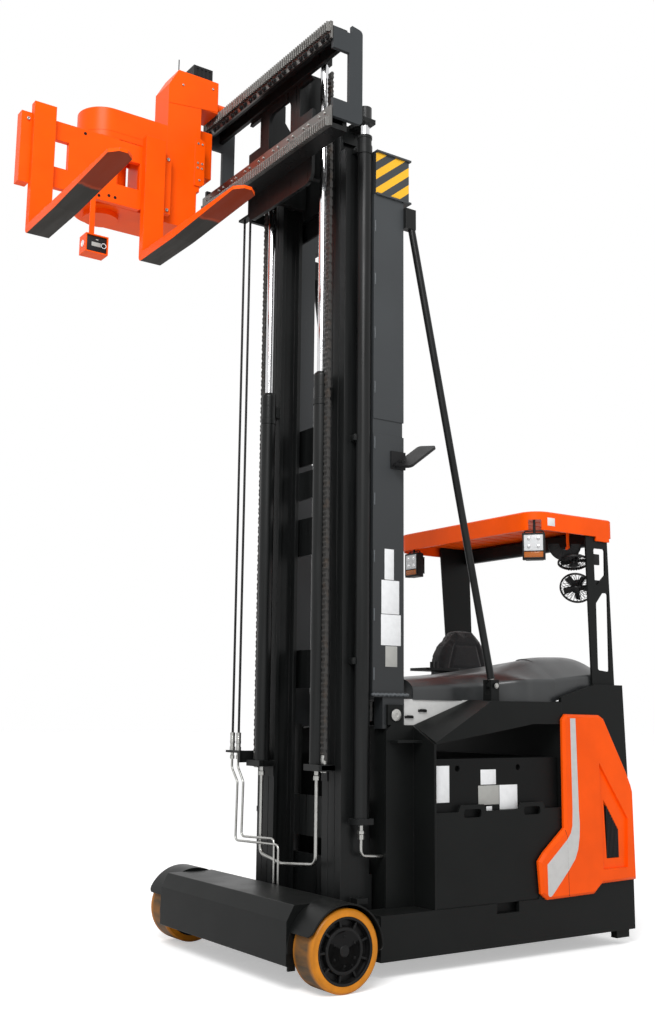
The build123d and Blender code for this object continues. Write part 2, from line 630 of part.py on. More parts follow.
with BuildPart() as seat_backrest:
    panel(side(SEAT_BACK_Y), [
        (SEAT_X - 195, CUSHION_TOP + 20), (SEAT_X - 205, 1420), (SEAT_X - 185, 1500), (SEAT_X - 130, 1590),
        (SEAT_X - 105, SEAT_HEIGHT - 20), (SEAT_X - 70, SEAT_HEIGHT), (SEAT_X + 70, SEAT_HEIGHT),
        (SEAT_X + 105, SEAT_HEIGHT - 20), (SEAT_X + 130, 1590), (SEAT_X + 185, 1500), (SEAT_X + 205, 1420),
        (SEAT_X + 195, CUSHION_TOP + 20),
    ], BACK_THICK, round_r=12)
save("seat_backrest", seat_backrest)

# Control desk over the hood on its own upright, and the small steering wheel on the cowl's inner side
DESK = (1418, 1434)
WHEEL_HUB = (SEAT_X, COWL_IN - 130, 1330)
with BuildPart() as driver_controls:
    desk_rear = BAY_REAR - PLATE - 16
    block((desk_rear, -1240), (-380, -200), DESK)
    fillet(driver_controls.edges().filter_by(Axis.Z), 20)
    block((desk_rear, BAY_REAR - PLATE), (-330, -250), (FLOOR_TOP, DESK[0]))
    for y in (-340, -300):
        post(-1380, y, 11, (DESK[1], DESK[1] + 40))
    with Locations((AXLE_X + WHEEL_HUB[0], WHEEL_HUB[1], WHEEL_HUB[2])):
        Cylinder(123, 20)
        Cylinder(100, 20, mode=Mode.SUBTRACT)
        Cylinder(34, 30)
        Box(210, 26, 12)
    block((SEAT_X - 20, SEAT_X + 20), (WHEEL_HUB[1] - 20, COWL_IN), (1270, 1316))
save("driver_controls", driver_controls)

# Work lamps under the roof, each a deep body on a hanger
LAMPS = (  # x, y, turn from straight ahead
    (-1345, ROOF_HALF - 45, 40),
    (-1345, -ROOF_HALF + 135, 0),
)
LAMP_Z = 2052
with BuildPart() as work_lamps:
    for x, y, turn in LAMPS:
        base = Plane(origin=(AXLE_X + x, y, LAMP_Z - 71), x_dir=(1, 0, 0))
        with BuildSketch(base.rotated((0, 0, turn))) as lamp:
            Rectangle(34, 118)
            with Locations((-27, 0)):
                Rectangle(22, 92)
        extrude(lamp.sketch, amount=142)
        post(x - 5, y, 7, (LAMP_Z + 71, ROOF_TOP - 45))
save("work_lamps", work_lamps)

# Cab fan with its bowl and strap, and a folded blower on the left pillar
with BuildPart() as cab_fans:
    for z, r in ((1985, 62), (1865, 66)):
        with Locations((AXLE_X - 1800, PILLAR_Y - SHEET - 75, z)):
            Cylinder(r, 60, rotation=(0, 70, 40))
        block((-1810, -1790), (PILLAR_Y - SHEET - 40, PILLAR_Y - SHEET), (z - 12, z + 12))
    with Locations((AXLE_X - 1635, 500, 2052)):
        Cylinder(62, 26, rotation=(90, 0, -35))
    block((-1646, -1624), (490, 496), (2080, ROOF_TOP - 45))
save("cab_fans", cab_fans)


# The three mast stages, each one's rails inside the last
def rail(y_out, depth, z, section):
    """One mast rail: a channel open to the middle, or an I section open on both sides."""
    rear = RAIL_FRONT - depth
    inside = (rear + FLANGE, RAIL_FRONT - FLANGE)
    block((rear, RAIL_FRONT), (y_out - RAIL_WIDTH, y_out), z)
    if section == "channel":
        block(inside, (y_out - RAIL_WIDTH, y_out - WEB), z, mode=Mode.SUBTRACT)
    else:
        block(inside, (y_out - RAIL_WIDTH, y_out - RAIL_WIDTH / 2 - WEB / 2), z, mode=Mode.SUBTRACT)
        block(inside, (y_out - RAIL_WIDTH / 2 + WEB / 2, y_out), z, mode=Mode.SUBTRACT)


def roller(depth, y, z):
    """A guide roller between two widths, inside the flanges of a rail of this depth."""
    rod(side(y[1]), RAIL_FRONT - depth / 2, z, depth / 2 - FLANGE - SEAT_GAP, y[1] - y[0])


OUTER_DEPTH = RAIL_FRONT - RAIL_REAR
MIDDLE_DEPTH = OUTER_DEPTH - RAIL_STEP
INNER_DEPTH = MIDDLE_DEPTH - RAIL_STEP
MIDDLE_RAIL = OUTER_RAIL - RAIL_WIDTH - GAP
INNER_RAIL = MIDDLE_RAIL - RAIL_WIDTH - GAP
MIDDLE_TOP = MAST_TOP + MAST_LIFTED
INNER_TOP = MIDDLE_TOP + MAST_LIFTED
MIDDLE_BOTTOM = RAIL_BOTTOM + MAST_LIFTED
INNER_BOTTOM = RAIL_BOTTOM + 2 * MAST_LIFTED
TIE_EDGE = 20  # the ties stop this far below the rail tops
LIFT_BASE = 28

with BuildPart() as outer_mast:
    rail(OUTER_RAIL, OUTER_DEPTH, (MAST_FOOT_TOP, MAST_TOP), "channel")
    block((LIFT_X - 42, LIFT_X + 42), (OUTER_RAIL, LIFT_Y + 42),
          (LIFT_TUBE_BOTTOM - LIFT_BASE, LIFT_TUBE_BOTTOM))
    block((-350, -290), (OUTER_RAIL, OUTER_RAIL + 60), (300, 325))
    mirror(about=Plane.XZ)
    for z in (HOSE_LOW, HOSE_HIGH + SHEET):
        block((RAIL_FRONT, HOSE_X + 20), (-OUTER_RAIL, -OUTER_RAIL + 20), (z - 60, z))
        block((HOSE_X - 22, HOSE_X + 22), (-505, -OUTER_RAIL + 20), (z - SHEET, z))
    for low, high in ((150, 420), (1300, 1500), (2500, 2700), (3800, MAST_TOP - TIE_EDGE)):
        block((RAIL_REAR - TIE, RAIL_REAR), (-OUTER_RAIL, OUTER_RAIL), (low, high))
save("outer_mast", outer_mast)

CROSSHEAD = (LIFT_TUBE_TOP + MAST_LIFTED + GAP, LIFT_TUBE_TOP + MAST_LIFTED + GAP + 25)
with BuildPart() as middle_mast:
    rail(MIDDLE_RAIL, MIDDLE_DEPTH, (MIDDLE_BOTTOM, MIDDLE_TOP), "beam")
    roller(OUTER_DEPTH, (MIDDLE_RAIL - RAIL_WIDTH / 2, OUTER_RAIL - WEB - GAP), MIDDLE_BOTTOM + 80)
    block((RAIL_FRONT - MIDDLE_DEPTH, RAIL_FRONT), (MIDDLE_RAIL - RAIL_WIDTH, MIDDLE_RAIL),
          (MIDDLE_TOP, CROSSHEAD[1]))
    block((LIFT_X - 40, LIFT_X + 40), (MIDDLE_RAIL - 10, LIFT_Y + 40), CROSSHEAD)
    mirror(about=Plane.XZ)
    middle_back = RAIL_FRONT - MIDDLE_DEPTH
    for low, high in ((MIDDLE_BOTTOM, MIDDLE_BOTTOM + 250), (2000, 2200), (3900, MIDDLE_TOP - TIE_EDGE)):
        block((middle_back - TIE, middle_back), (-MIDDLE_RAIL, MIDDLE_RAIL), (low, high))
save("middle_mast", middle_mast)

CHAIN_ANCHOR_TOP = FREE_TUBE_BOTTOM
BRACKET = (RAIL_FRONT + GAP, FREE_X + 45)
with BuildPart() as inner_mast:
    rail(INNER_RAIL, INNER_DEPTH, (INNER_BOTTOM, INNER_TOP), "channel")
    roller(MIDDLE_DEPTH, (INNER_RAIL - WEB / 2, MIDDLE_RAIL - RAIL_WIDTH / 2 - WEB / 2 - GAP),
           INNER_BOTTOM + 80)
    bracket_z = (CHAIN_ANCHOR_TOP - 80, CHAIN_ANCHOR_TOP)
    block((RAIL_FRONT, RAIL_FRONT + GAP), (INNER_RAIL - RAIL_WIDTH, INNER_RAIL), bracket_z)
    block(BRACKET, (INNER_RAIL - 65, CHAIN_Y + 24), (CHAIN_ANCHOR_TOP - 30, CHAIN_ANCHOR_TOP))
    block((RAIL_FRONT, FREE_X - 30), (FREE_Y - 28, FREE_Y + 15), (2740, 2800))
    post(FREE_X, FREE_Y, FREE_R, (2740, 2800), mode=Mode.SUBTRACT)
    mirror(about=Plane.XZ)
    inner_back = RAIL_FRONT - INNER_DEPTH
    for low, high in ((560, 760), (2300, 2450), (3900, INNER_TOP - TIE_EDGE)):
        block((inner_back - TIE, inner_back), (-INNER_RAIL, INNER_RAIL), (low, high))
save("inner_mast", inner_mast)

# Boxes that stiffen the outer rails, with the lugs that hang on the posts' pins
LIP = 10
with BuildPart() as mast_side_boxes:
    block((SIDE_BOX_REAR, SIDE_BOX_FRONT), (OUTER_RAIL, SIDE_BOX_OUT), (SIDE_BOX_BOTTOM, 2547))
    block((SIDE_BOX_REAR + 6, SIDE_BOX_FRONT), (OUTER_RAIL, SIDE_BOX_OUT - 4), (2547, 2624))
    block((SIDE_BOX_REAR, SIDE_BOX_FRONT), (OUTER_RAIL, SIDE_BOX_OUT), (2624, SIDE_BOX_TOP))
    block(STRIPE_BOX, (OUTER_RAIL, SIDE_BOX_OUT), (SIDE_BOX_TOP, MAST_TOP))
    for z in (SIDE_BOX_TOP, MAST_TOP - LIP):
        block((STRIPE_BOX[0] - LIP, STRIPE_BOX[1]), (OUTER_RAIL, SIDE_BOX_OUT + LIP), (z, z + LIP))
    block((SIDE_BOX_REAR - 8, SIDE_BOX_FRONT), (OUTER_RAIL, SIDE_BOX_OUT + 8),
          (SIDE_BOX_BOTTOM, SIDE_BOX_BOTTOM + 24))
    block((PIN_X - 65, PIN_X + 65), (OUTER_RAIL, SIDE_BOX_OUT), (PIN_Z - 65, SIDE_BOX_BOTTOM))
    pin_end = POST_IN + POST_PLATE + 6
    rod(side(pin_end), PIN_X, PIN_Z, PIN_R - SEAT_GAP, pin_end - SIDE_BOX_OUT)
    mirror(about=Plane.XZ)
save("mast_side_boxes", mast_side_boxes)

# Struts from the mast's top down to the side beams
with BuildPart() as mast_struts:
    low = Vector(AXLE_X + STRUT_END[0], STRUT_OUT, STRUT_END[1] + 15)
    high = Vector(AXLE_X + STRUT_TOP[0], SIDE_BOX_OUT, STRUT_TOP[1])
    axis_plane = Plane(origin=low, z_dir=high - low)
    rod(axis_plane, 0, 0, STRUT_R, (high - low).length)
    rod(axis_plane, 0, 0, 8, -36)
    rod(side(STRUT_OUT + 15), STRUT_END[0], STRUT_PIN_Z, STRUT_PIN_R + 8, 30)
    rod(side(STRUT_OUT + 38), STRUT_END[0], STRUT_PIN_Z, STRUT_PIN_R, 76)
    block((STRUT_TOP[0] - 22, SIDE_BOX_REAR), (SIDE_BOX_OUT - 22, SIDE_BOX_OUT + 22), (3670, 3780))
    mirror(about=Plane.XZ)
save("mast_struts", mast_struts)

# Mirror on a bracket beside the mast
with BuildPart() as mast_mirror:
    block((-560, -470), (SIDE_BOX_OUT, SIDE_BOX_OUT + 8), (2380, 2470))
    block((-530, -500), (SIDE_BOX_OUT + 8, SIDE_BOX_OUT + 60), (2400, 2412))
    with BuildSketch(Plane(origin=(AXLE_X - 590, SIDE_BOX_OUT + 50, 2440), x_dir=(1, 0.25, -0.55),
                           z_dir=(0.5, 0.25, 0.83))):
        RectangleRounded(250, 110, 20)
    extrude(amount=14)
save("mast_mirror", mast_mirror)

# Lift cylinders
with BuildPart() as main_lift_tubes:
    post(LIFT_X, LIFT_Y, LIFT_R, (LIFT_TUBE_BOTTOM, LIFT_TUBE_TOP))
    post(LIFT_X, LIFT_Y, LIFT_R + 4, (LIFT_TUBE_TOP - 100, LIFT_TUBE_TOP - 55))
    post(LIFT_X, LIFT_Y, LIFT_R + 3, (LIFT_TUBE_TOP - 14, LIFT_TUBE_TOP))
    post(LIFT_X, LIFT_Y, LIFT_ROD_R + 2, (1200, LIFT_TUBE_TOP - GLAND), mode=Mode.SUBTRACT)
    post(LIFT_X, LIFT_Y, LIFT_ROD_R + SEAT_GAP, (LIFT_TUBE_TOP - GLAND, LIFT_TUBE_TOP), mode=Mode.SUBTRACT)
    mirror(about=Plane.XZ)
save("main_lift_tubes", main_lift_tubes)

with BuildPart() as main_lift_rods:
    post(LIFT_X, LIFT_Y, LIFT_ROD_R, (1350, CROSSHEAD[0]))
    post(LIFT_X, LIFT_Y, LIFT_R, (CROSSHEAD[1], LIFT_CAP_TOP))
    mirror(about=Plane.XZ)
save("main_lift_rods", main_lift_rods)

with BuildPart() as free_lift_tubes:
    post(FREE_X, FREE_Y, FREE_R, (FREE_TUBE_BOTTOM, FREE_TUBE_TOP))
    post(FREE_X, FREE_Y, FREE_R + 1, (FREE_TUBE_TOP - 50, FREE_TUBE_TOP))
    post(FREE_X, FREE_Y, FREE_ROD_R + 2, (FREE_TUBE_BOTTOM + 30, FREE_TUBE_TOP - GLAND), mode=Mode.SUBTRACT)
    post(FREE_X, FREE_Y, FREE_ROD_R + SEAT_GAP, (FREE_TUBE_TOP - GLAND, FREE_TUBE_TOP), mode=Mode.SUBTRACT)
    mirror(about=Plane.XZ)
save("free_lift_tubes", free_lift_tubes)

PULLEY_HALF = CHAIN_WIDTH / 2 + 5
with BuildPart() as free_lift_rods:
    post(FREE_X, FREE_Y, FREE_ROD_R, (FREE_TUBE_TOP - FREE_ROD_INSIDE, PULLEY_Z - 40))
    mirror(about=Plane.XZ)
save("free_lift_rods", free_lift_rods)

with BuildPart() as chain_pulleys:
    block((FREE_X - 30, PULLEY_X + 40), (FREE_Y - 26, FREE_Y + 26), (PULLEY_Z - 40, PULLEY_Z + 25))
    rod(side(CHAIN_Y + PULLEY_HALF), PULLEY_X, PULLEY_Z, PULLEY_R - 8, 2 * PULLEY_HALF)
    for y in (CHAIN_Y + PULLEY_HALF, CHAIN_Y - PULLEY_HALF + 4):
        rod(side(y), PULLEY_X, PULLEY_Z, PULLEY_R + 8, 4)
    rod(side(CHAIN_Y - PULLEY_HALF), PULLEY_X, PULLEY_Z, 18, CHAIN_Y - PULLEY_HALF - FREE_Y)
    mirror(about=Plane.XZ)
    block((PULLEY_X + 5, PULLEY_X + 40), (-FREE_Y, FREE_Y), (PULLEY_Z - 20, PULLEY_Z + 20))
save("chain_pulleys", chain_pulleys)

# Leaf chains up to the pulleys: broad and narrow links in turn
CHAIN_TOP = PULLEY_Z
with BuildPart() as lift_chains:
    edge = []
    links = int((CHAIN_TOP - CHAIN_ANCHOR_TOP) / CHAIN_STEP)
    for i in range(links):
        z = CHAIN_ANCHOR_TOP + i * CHAIN_STEP
        edge += [(CHAIN_WIDTH / 2, z), (CHAIN_WIDTH / 2, z + CHAIN_STEP - 30),
                 (CHAIN_WIDTH / 2 - 5, z + CHAIN_STEP - 30), (CHAIN_WIDTH / 2 - 5, z + CHAIN_STEP)]
    right = [(CHAIN_Y + w, z) for w, z in edge]
    left = [(CHAIN_Y - w, z) for w, z in reversed(edge)]
    panel(across(PULLEY_X - PULLEY_R - 6), right + left, 12)
    mirror(about=Plane.XZ)
save("lift_chains", lift_chains)

# Two hoses between their brackets on the mast, and the steel pipes that feed them and the cylinders
with BuildPart() as hoses:
    for y in HOSE_Y:
        post(HOSE_X, y, HOSE_R, (HOSE_LOW, HOSE_HIGH))
        post(HOSE_X, y, HOSE_R + 4, (HOSE_LOW, HOSE_LOW + 90))
save("hoses", hoses)

PIPE_R = 7
PIPES = (  # radius, bend, points as x, y, z
    (PIPE_R, 28, ((HOSE_X, -473, HOSE_LOW - SHEET), (HOSE_X, -473, 885), (HOSE_X, -412, 815),
                  (HOSE_X, -420, 520), (HOSE_X, 0, 535), (HOSE_X, 0, MAST_FOOT_TOP))),
    (PIPE_R, 28, ((HOSE_X, -410, HOSE_LOW - SHEET), (HOSE_X, -410, 890), (HOSE_X, -352, 818),
                  (HOSE_X, -360, 545), (HOSE_X, -40, 560), (HOSE_X, -40, MAST_FOOT_TOP))),
)
with BuildPart() as steel_pipes:
    for radius, bend, points in PIPES:
        pipe(points, radius, bend)
    for s in (-1, 1):
        post(LIFT_X, s * LIFT_Y, 13, (590, LIFT_TUBE_BOTTOM - LIFT_BASE))
        pipe(((LIFT_X, s * LIFT_Y, 592), (LIFT_X, s * LIFT_Y, 515), (-450, s * (LIFT_Y + 2), 505)), 8, 30)
save("steel_pipes", steel_pipes)

with BuildPart() as free_lift_pipe:
    feed_top = CHAIN_ANCHOR_TOP - 30
    pipe(((FREE_X, -FREE_Y, feed_top), (FREE_X, -FREE_Y, 470), (FREE_X + 6, -40, 440), (FREE_X, FREE_Y, 465),
          (FREE_X, FREE_Y, feed_top)), 10, 40)
save("free_lift_pipe", free_lift_pipe)

# Carriage that rides in the inner mast: two arms with rollers, and a plate with rounded openings
FACE_HALF = 320
with BuildPart() as carriage_frame:
    panel(side(ARM_IN + ARM_PLATE), [
        (-345, ARM_BOTTOM), (-345, 4240), (-200, 4420), (-200, UPPER_BEAM[1] - 8),
        (BEAM_BACK - 20, UPPER_BEAM[1] - 8), (BEAM_BACK - 20, ARM_BOTTOM),
    ], ARM_PLATE)
    for z in (ARM_BOTTOM + 60, ARM_BOTTOM + 175):
        roller(INNER_DEPTH, (ARM_IN + ARM_PLATE / 2, INNER_RAIL - WEB - GAP), z)
    mirror(about=Plane.XZ)
save("carriage_frame", carriage_frame)

with BuildPart() as carriage_plate:
    panel(across(BEAM_BACK - 20), [
        (-FACE_HALF, CARRIAGE_BOTTOM), (-FACE_HALF, UPPER_BEAM[0] + 20), (FACE_HALF, UPPER_BEAM[0] + 20),
        (FACE_HALF, CARRIAGE_BOTTOM),
    ], 20, round_r=60)
    panel(across(BEAM_BACK - 20), [(-110, 4120), (-110, 4400), (110, 4400), (110, 4120)], 20,
          mode=Mode.SUBTRACT, round_r=50)
    for s in (-1, 1):
        panel(across(BEAM_BACK - 20), [
            (s * 200, 4250), (s * 200, UPPER_BEAM[0] - 20), (s * 360, UPPER_BEAM[0] - 20), (s * 360, 4250),
        ], 20, mode=Mode.SUBTRACT)
save("carriage_plate", carriage_plate)

# Traverse beams: channels that carry the head, open to the front and below
BEAM_END = TRAVERSE_HALF - PLATE
with BuildPart() as traverse_beams:
    for low, high, sign in ((*UPPER_BEAM, 1), (*LOWER_BEAM, -1)):
        block((BEAM_BACK, BEAM_FACE), (-BEAM_END, BEAM_END), (low, high))
        cut = (low, high - 26) if sign == 1 else (low + 26, high - 22)
        block((BEAM_BACK + 22, BEAM_FACE - 14), (-BEAM_END, BEAM_END), cut, mode=Mode.SUBTRACT)
save("traverse_beams", traverse_beams)

# Toothed racks on the beams' faces: upright teeth that face forward, and a bolting strip
PITCH = pi * RACK_MODULE
RACKS = (  # toothed strip and bolting strip, as heights
    ((UPPER_BEAM[0] + 38, UPPER_BEAM[1] + 4), (UPPER_BEAM[0], UPPER_BEAM[0] + 38)),
    ((LOWER_BEAM[0] - 4, LOWER_BEAM[0] + 46), (LOWER_BEAM[0] + 46, LOWER_BEAM[1])),
)
with BuildPart() as racks:
    count = int(2 * TRAVERSE_HALF / PITCH)
    start = -count * PITCH / 2
    root = RACK_FRONT - TOOTH_DEPTH
    teeth = [(BEAM_FACE, -TRAVERSE_HALF), (root, -TRAVERSE_HALF)]
    for i in range(count):
        y = start + i * PITCH
        teeth += [(root, y + 0.12 * PITCH), (RACK_FRONT, y + 0.34 * PITCH), (RACK_FRONT, y + 0.66 * PITCH),
                  (root, y + 0.88 * PITCH)]
    teeth += [(root, TRAVERSE_HALF), (BEAM_FACE, TRAVERSE_HALF)]
    for toothed, strip in RACKS:
        panel(plan(toothed[0]), teeth, toothed[1] - toothed[0])
        block((BEAM_FACE, root - 4), (-TRAVERSE_HALF, TRAVERSE_HALF), strip)
save("racks", racks)

with BuildPart() as traverse_end_plates:
    panel(side(TRAVERSE_HALF), [
        (36, END_PLATE_BOTTOM), (36, 4130), (BEAM_BACK, 4130), (BEAM_BACK, 4398), (36, 4398),
        (36, UPPER_BEAM[1] - 16), (-75, UPPER_BEAM[1] - 24), (-75, END_PLATE_TOP + 10),
        (END_PLATE_REAR, END_PLATE_TOP),
        (END_PLATE_REAR, END_PLATE_BOTTOM),
    ], PLATE)
    fillet(traverse_end_plates.edges().filter_by(Axis.Y).group_by(Axis.X)[0], 24)
    mirror(about=Plane.XZ)
save("traverse_end_plates", traverse_end_plates)

# Energy chain that lies along the lower beam
CHAIN_LINK = 36
with BuildPart() as energy_chain:
    for i in range(15):
        y = -BEAM_END + 20 + i * CHAIN_LINK
        block((-52, 14), (y, y + CHAIN_LINK - 6), (LOWER_BEAM[1], LOWER_BEAM[1] + 30))
        block((-46, 8), (y + CHAIN_LINK - 6, y + CHAIN_LINK), (LOWER_BEAM[1], LOWER_BEAM[1] + 24))
save("energy_chain", energy_chain)

# Head column that runs along the racks on support rollers
HEAD_REAR = RACK_FRONT + HEAD_CLEAR
HEAD_RIGHT = HEAD_Y - HEAD_DEPTH
TOWER_RIGHT = HEAD_Y - TOWER_DEPTH
TOWER_FOOT = UPPER_BEAM[1] - 13
CARRY_R = 30
CARRY_REAR = -20
CARRY_Z = UPPER_BEAM[1] + 4 + SEAT_GAP + CARRY_R
with BuildPart() as head_column:
    panel(side(HEAD_Y), [
        (HEAD_REAR, TOWER_FOOT), (HEAD_REAR, HEAD_TOP), (HEAD_FACE - 57, HEAD_TOP),
        (HEAD_FACE, HEAD_TOP - 103), (HEAD_FACE, ARM_TOP), (HEAD_WAIST, ARM_TOP), (HEAD_WAIST, TOWER_FOOT),
    ], TOWER_DEPTH)
    panel(side(HEAD_Y), [
        (HEAD_WAIST, LOWER_BEAM[0] + 30), (HEAD_WAIST, ARM_TOP), (HEAD_FACE, ARM_TOP),
        (HEAD_FACE, HEAD_BOTTOM), (HEAD_FOOT, HEAD_BOTTOM), (HEAD_FOOT, LOWER_BEAM[0] + 30),
    ], HEAD_DEPTH)
    for y in (HEAD_Y - 40, TOWER_RIGHT + 40):
        rod(across(CARRY_REAR), y, CARRY_Z, CARRY_R, RACK_FRONT - CARRY_REAR)
        rod(across(CARRY_REAR), y, CARRY_Z, 12, HEAD_REAR + 20 - CARRY_REAR)
    for y in (HEAD_Y, TOWER_RIGHT + 2):
        panel(side(y), [
            (HEAD_REAR, HEAD_TOP - 181), (HEAD_REAR, HEAD_TOP - 177), (HEAD_FACE, HEAD_TOP - 213),
            (HEAD_FACE, HEAD_TOP - 217),
        ], 2, mode=Mode.SUBTRACT)
    panel(side(HEAD_Y + 8), [
        (HEAD_WAIST + 34, 4045), (HEAD_WAIST + 34, 4327), (HEAD_WAIST, 4327), (HEAD_WAIST - 26, 4311),
        (HEAD_WAIST - 26, 4061), (HEAD_WAIST, 4045),
    ], 24)
    block((HEAD_REAR, HEAD_WAIST), (HEAD_RIGHT + 60, HEAD_Y - 60), (LOWER_BEAM[1] + 55, UPPER_BEAM[0] - 25))
save("head_column", head_column)

with BuildPart() as head_top_box:
    top_box = (HEAD_Y - 150, HEAD_Y - 30)
    block((100, 220), top_box, (HEAD_TOP, HEAD_TOP + 84))
    for i in range(4):
        block((112 + 26 * i, 124 + 26 * i), (top_box[1] - 4, top_box[1]), (HEAD_TOP + 14, HEAD_TOP + 70),
              mode=Mode.SUBTRACT)
    post(300, HEAD_Y - 60, 3, (HEAD_TOP, HEAD_TOP + 98))
save("head_top_box", head_top_box)

# Swivel arm: upper and lower jaws round the drum
with BuildPart() as swivel_arm:
    jaw_x = (HEAD_FACE, SWIVEL_X)
    jaw_y = (SWIVEL_Y - DRUM_R, SWIVEL_Y + DRUM_R)
    for z in ((ARM_TOP - UPPER_ARM, ARM_TOP), (ARM_UNDER, ARM_UNDER + LOWER_ARM)):
        block(jaw_x, jaw_y, z)
        post(SWIVEL_X, SWIVEL_Y, DRUM_R, z)
    block((HEAD_FACE, HEAD_FACE + 95), jaw_y, (ARM_UNDER, ARM_TOP))
    post(SWIVEL_X, SWIVEL_Y, 95, (ARM_UNDER - 30, ARM_UNDER))
save("swivel_arm", swivel_arm)

# Drum that turns between the jaws, with the neck that holds the fork carriage
NECK = (SWIVEL_X - 18, SWIVEL_X + 90)
with BuildPart() as swivel_drum:
    drum_z = (ARM_UNDER + LOWER_ARM + SEAT_GAP, ARM_TOP - UPPER_ARM - SEAT_GAP)
    post(SWIVEL_X, SWIVEL_Y, DRUM_R - 20, drum_z)
    block(NECK, (SWIVEL_Y, FORK_PLATE_Y - FORK_PLATE), (WINDOW_Z[0] - 15, WINDOW_Z[1] + 120))
save("swivel_drum", swivel_drum)

with BuildPart() as fork_carriage:
    panel(side(FORK_PLATE_Y), [
        (380, FORK_BAR[0] + 20), (380, FORK_BAR[1]), (HEAD_FRONT - 55, FORK_BAR[1]),
        (HEAD_FRONT - 55, FORK_BAR[0]), (560, FORK_BAR[0]), (545, FORK_BAR[0] + 20),
    ], FORK_PLATE)
    for x0, x1 in FORK_WINDOWS:
        panel(side(FORK_PLATE_Y), [
            (x0, WINDOW_Z[0]), (x0, WINDOW_Z[1]), (x1, WINDOW_Z[1]), (x1, WINDOW_Z[0]),
        ], FORK_PLATE, mode=Mode.SUBTRACT)
    block((HEAD_FRONT - 55, HEAD_FRONT), (FORK_PLATE_Y - 48, FORK_PLATE_Y + 12),
          (FORK_BAR[0] - 19, FORK_BAR[1] - 3))
    for x in FORK_CENTRES:
        block((x - 45, x + 45), (FORK_PLATE_Y - FORK_PLATE - 14, FORK_PLATE_Y - FORK_PLATE),
              (FORK_BAR[1] - 40, FORK_BAR[1]))
save("fork_carriage", fork_carriage)

# Forks: an upright shank, a rounded heel and a blade that thins to a clipped tip
BLADE_TIP = 16
SHANK = FORK_PLATE_Y + FORK_THICK
BLADE_TOP = FORK_UNDER + FORK_THICK
with BuildPart() as forks:
    for x in FORK_CENTRES:
        with BuildSketch(across(x - FORK_WIDTH / 2)) as profile:
            with BuildLine():
                Polyline((FORK_PLATE_Y, FORK_UNDER + 30), (FORK_PLATE_Y, FORK_TOP), (SHANK, FORK_TOP),
                         (SHANK, BLADE_TOP + 12), (SHANK + 12, BLADE_TOP), (FORK_TIP, BLADE_TOP),
                         (FORK_TIP, BLADE_TOP - BLADE_TIP), (0, FORK_UNDER), (FORK_PLATE_Y + 30, FORK_UNDER))
                RadiusArc((FORK_PLATE_Y + 30, FORK_UNDER), (FORK_PLATE_Y, FORK_UNDER + 30), 30)
            make_face()
        extrude(profile.sketch, amount=FORK_WIDTH)
    chamfer(forks.edges().filter_by(Axis.Z).group_by(Axis.Y)[-1], 38)
save("forks", forks)

# Camera box that hangs on a strap below the fork carriage
SENSOR_X = 822
SENSOR_Z = (3459, 3557)
SENSOR_HALF = 61
with BuildPart() as sensor_box:
    strap_z = (SENSOR_Z[1] - 10, FORK_BAR[0] + 40)
    block((SENSOR_X - 14, SENSOR_X + 14), (FORK_PLATE_Y, FORK_PLATE_Y + 5), strap_z)
    block((SENSOR_X - SENSOR_HALF, SENSOR_X + SENSOR_HALF), (FORK_PLATE_Y, FORK_PLATE_Y + 84), SENSOR_Z)
    block((SENSOR_X - SENSOR_HALF + 6, SENSOR_X + SENSOR_HALF - 6), (FORK_PLATE_Y + 20, FORK_PLATE_Y + 84),
          (SENSOR_Z[0] + 6, SENSOR_Z[1] - 6), mode=Mode.SUBTRACT)
    camera_z = (SENSOR_Z[0] + 14, SENSOR_Z[1] - 14)
    block((SENSOR_X - 46, SENSOR_X + 46), (FORK_PLATE_Y + 20, FORK_PLATE_Y + 70), camera_z)
save("sensor_box", sensor_box)
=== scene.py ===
"""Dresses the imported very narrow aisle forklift: its finishes, and the pieces too fine for the solids."""

import json
import math

import bmesh
import bpy
from bpy.props import FloatProperty, FloatVectorProperty, IntProperty, PointerProperty
from bpy.types import Operator, Panel, PropertyGroup
from mathutils import Matrix, Vector


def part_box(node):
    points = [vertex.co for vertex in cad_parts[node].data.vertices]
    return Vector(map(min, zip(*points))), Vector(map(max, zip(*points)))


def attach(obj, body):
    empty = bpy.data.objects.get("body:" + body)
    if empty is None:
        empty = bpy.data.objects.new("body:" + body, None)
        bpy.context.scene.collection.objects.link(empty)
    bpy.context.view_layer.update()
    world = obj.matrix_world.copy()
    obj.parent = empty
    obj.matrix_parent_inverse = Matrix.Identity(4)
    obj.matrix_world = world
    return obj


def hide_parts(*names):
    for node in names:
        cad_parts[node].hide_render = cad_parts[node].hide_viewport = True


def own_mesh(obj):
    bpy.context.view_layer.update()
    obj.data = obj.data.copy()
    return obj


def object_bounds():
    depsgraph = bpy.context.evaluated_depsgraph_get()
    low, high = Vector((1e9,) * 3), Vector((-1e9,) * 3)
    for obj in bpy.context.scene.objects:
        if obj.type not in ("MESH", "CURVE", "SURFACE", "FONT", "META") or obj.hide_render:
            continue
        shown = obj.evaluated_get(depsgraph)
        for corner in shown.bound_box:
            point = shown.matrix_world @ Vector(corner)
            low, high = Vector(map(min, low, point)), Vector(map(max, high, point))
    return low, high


bl_info = {
    "name": "Aisle Forklift Dressing",
    "version": (1, 0, 0),
    "blender": (4, 5, 0),
    "location": "View3D > Sidebar > Forklift",
    "description": "Paints the forklift and adds its chains, fasteners, pipes, lamps, seat and covers",
    "category": "Object",
}

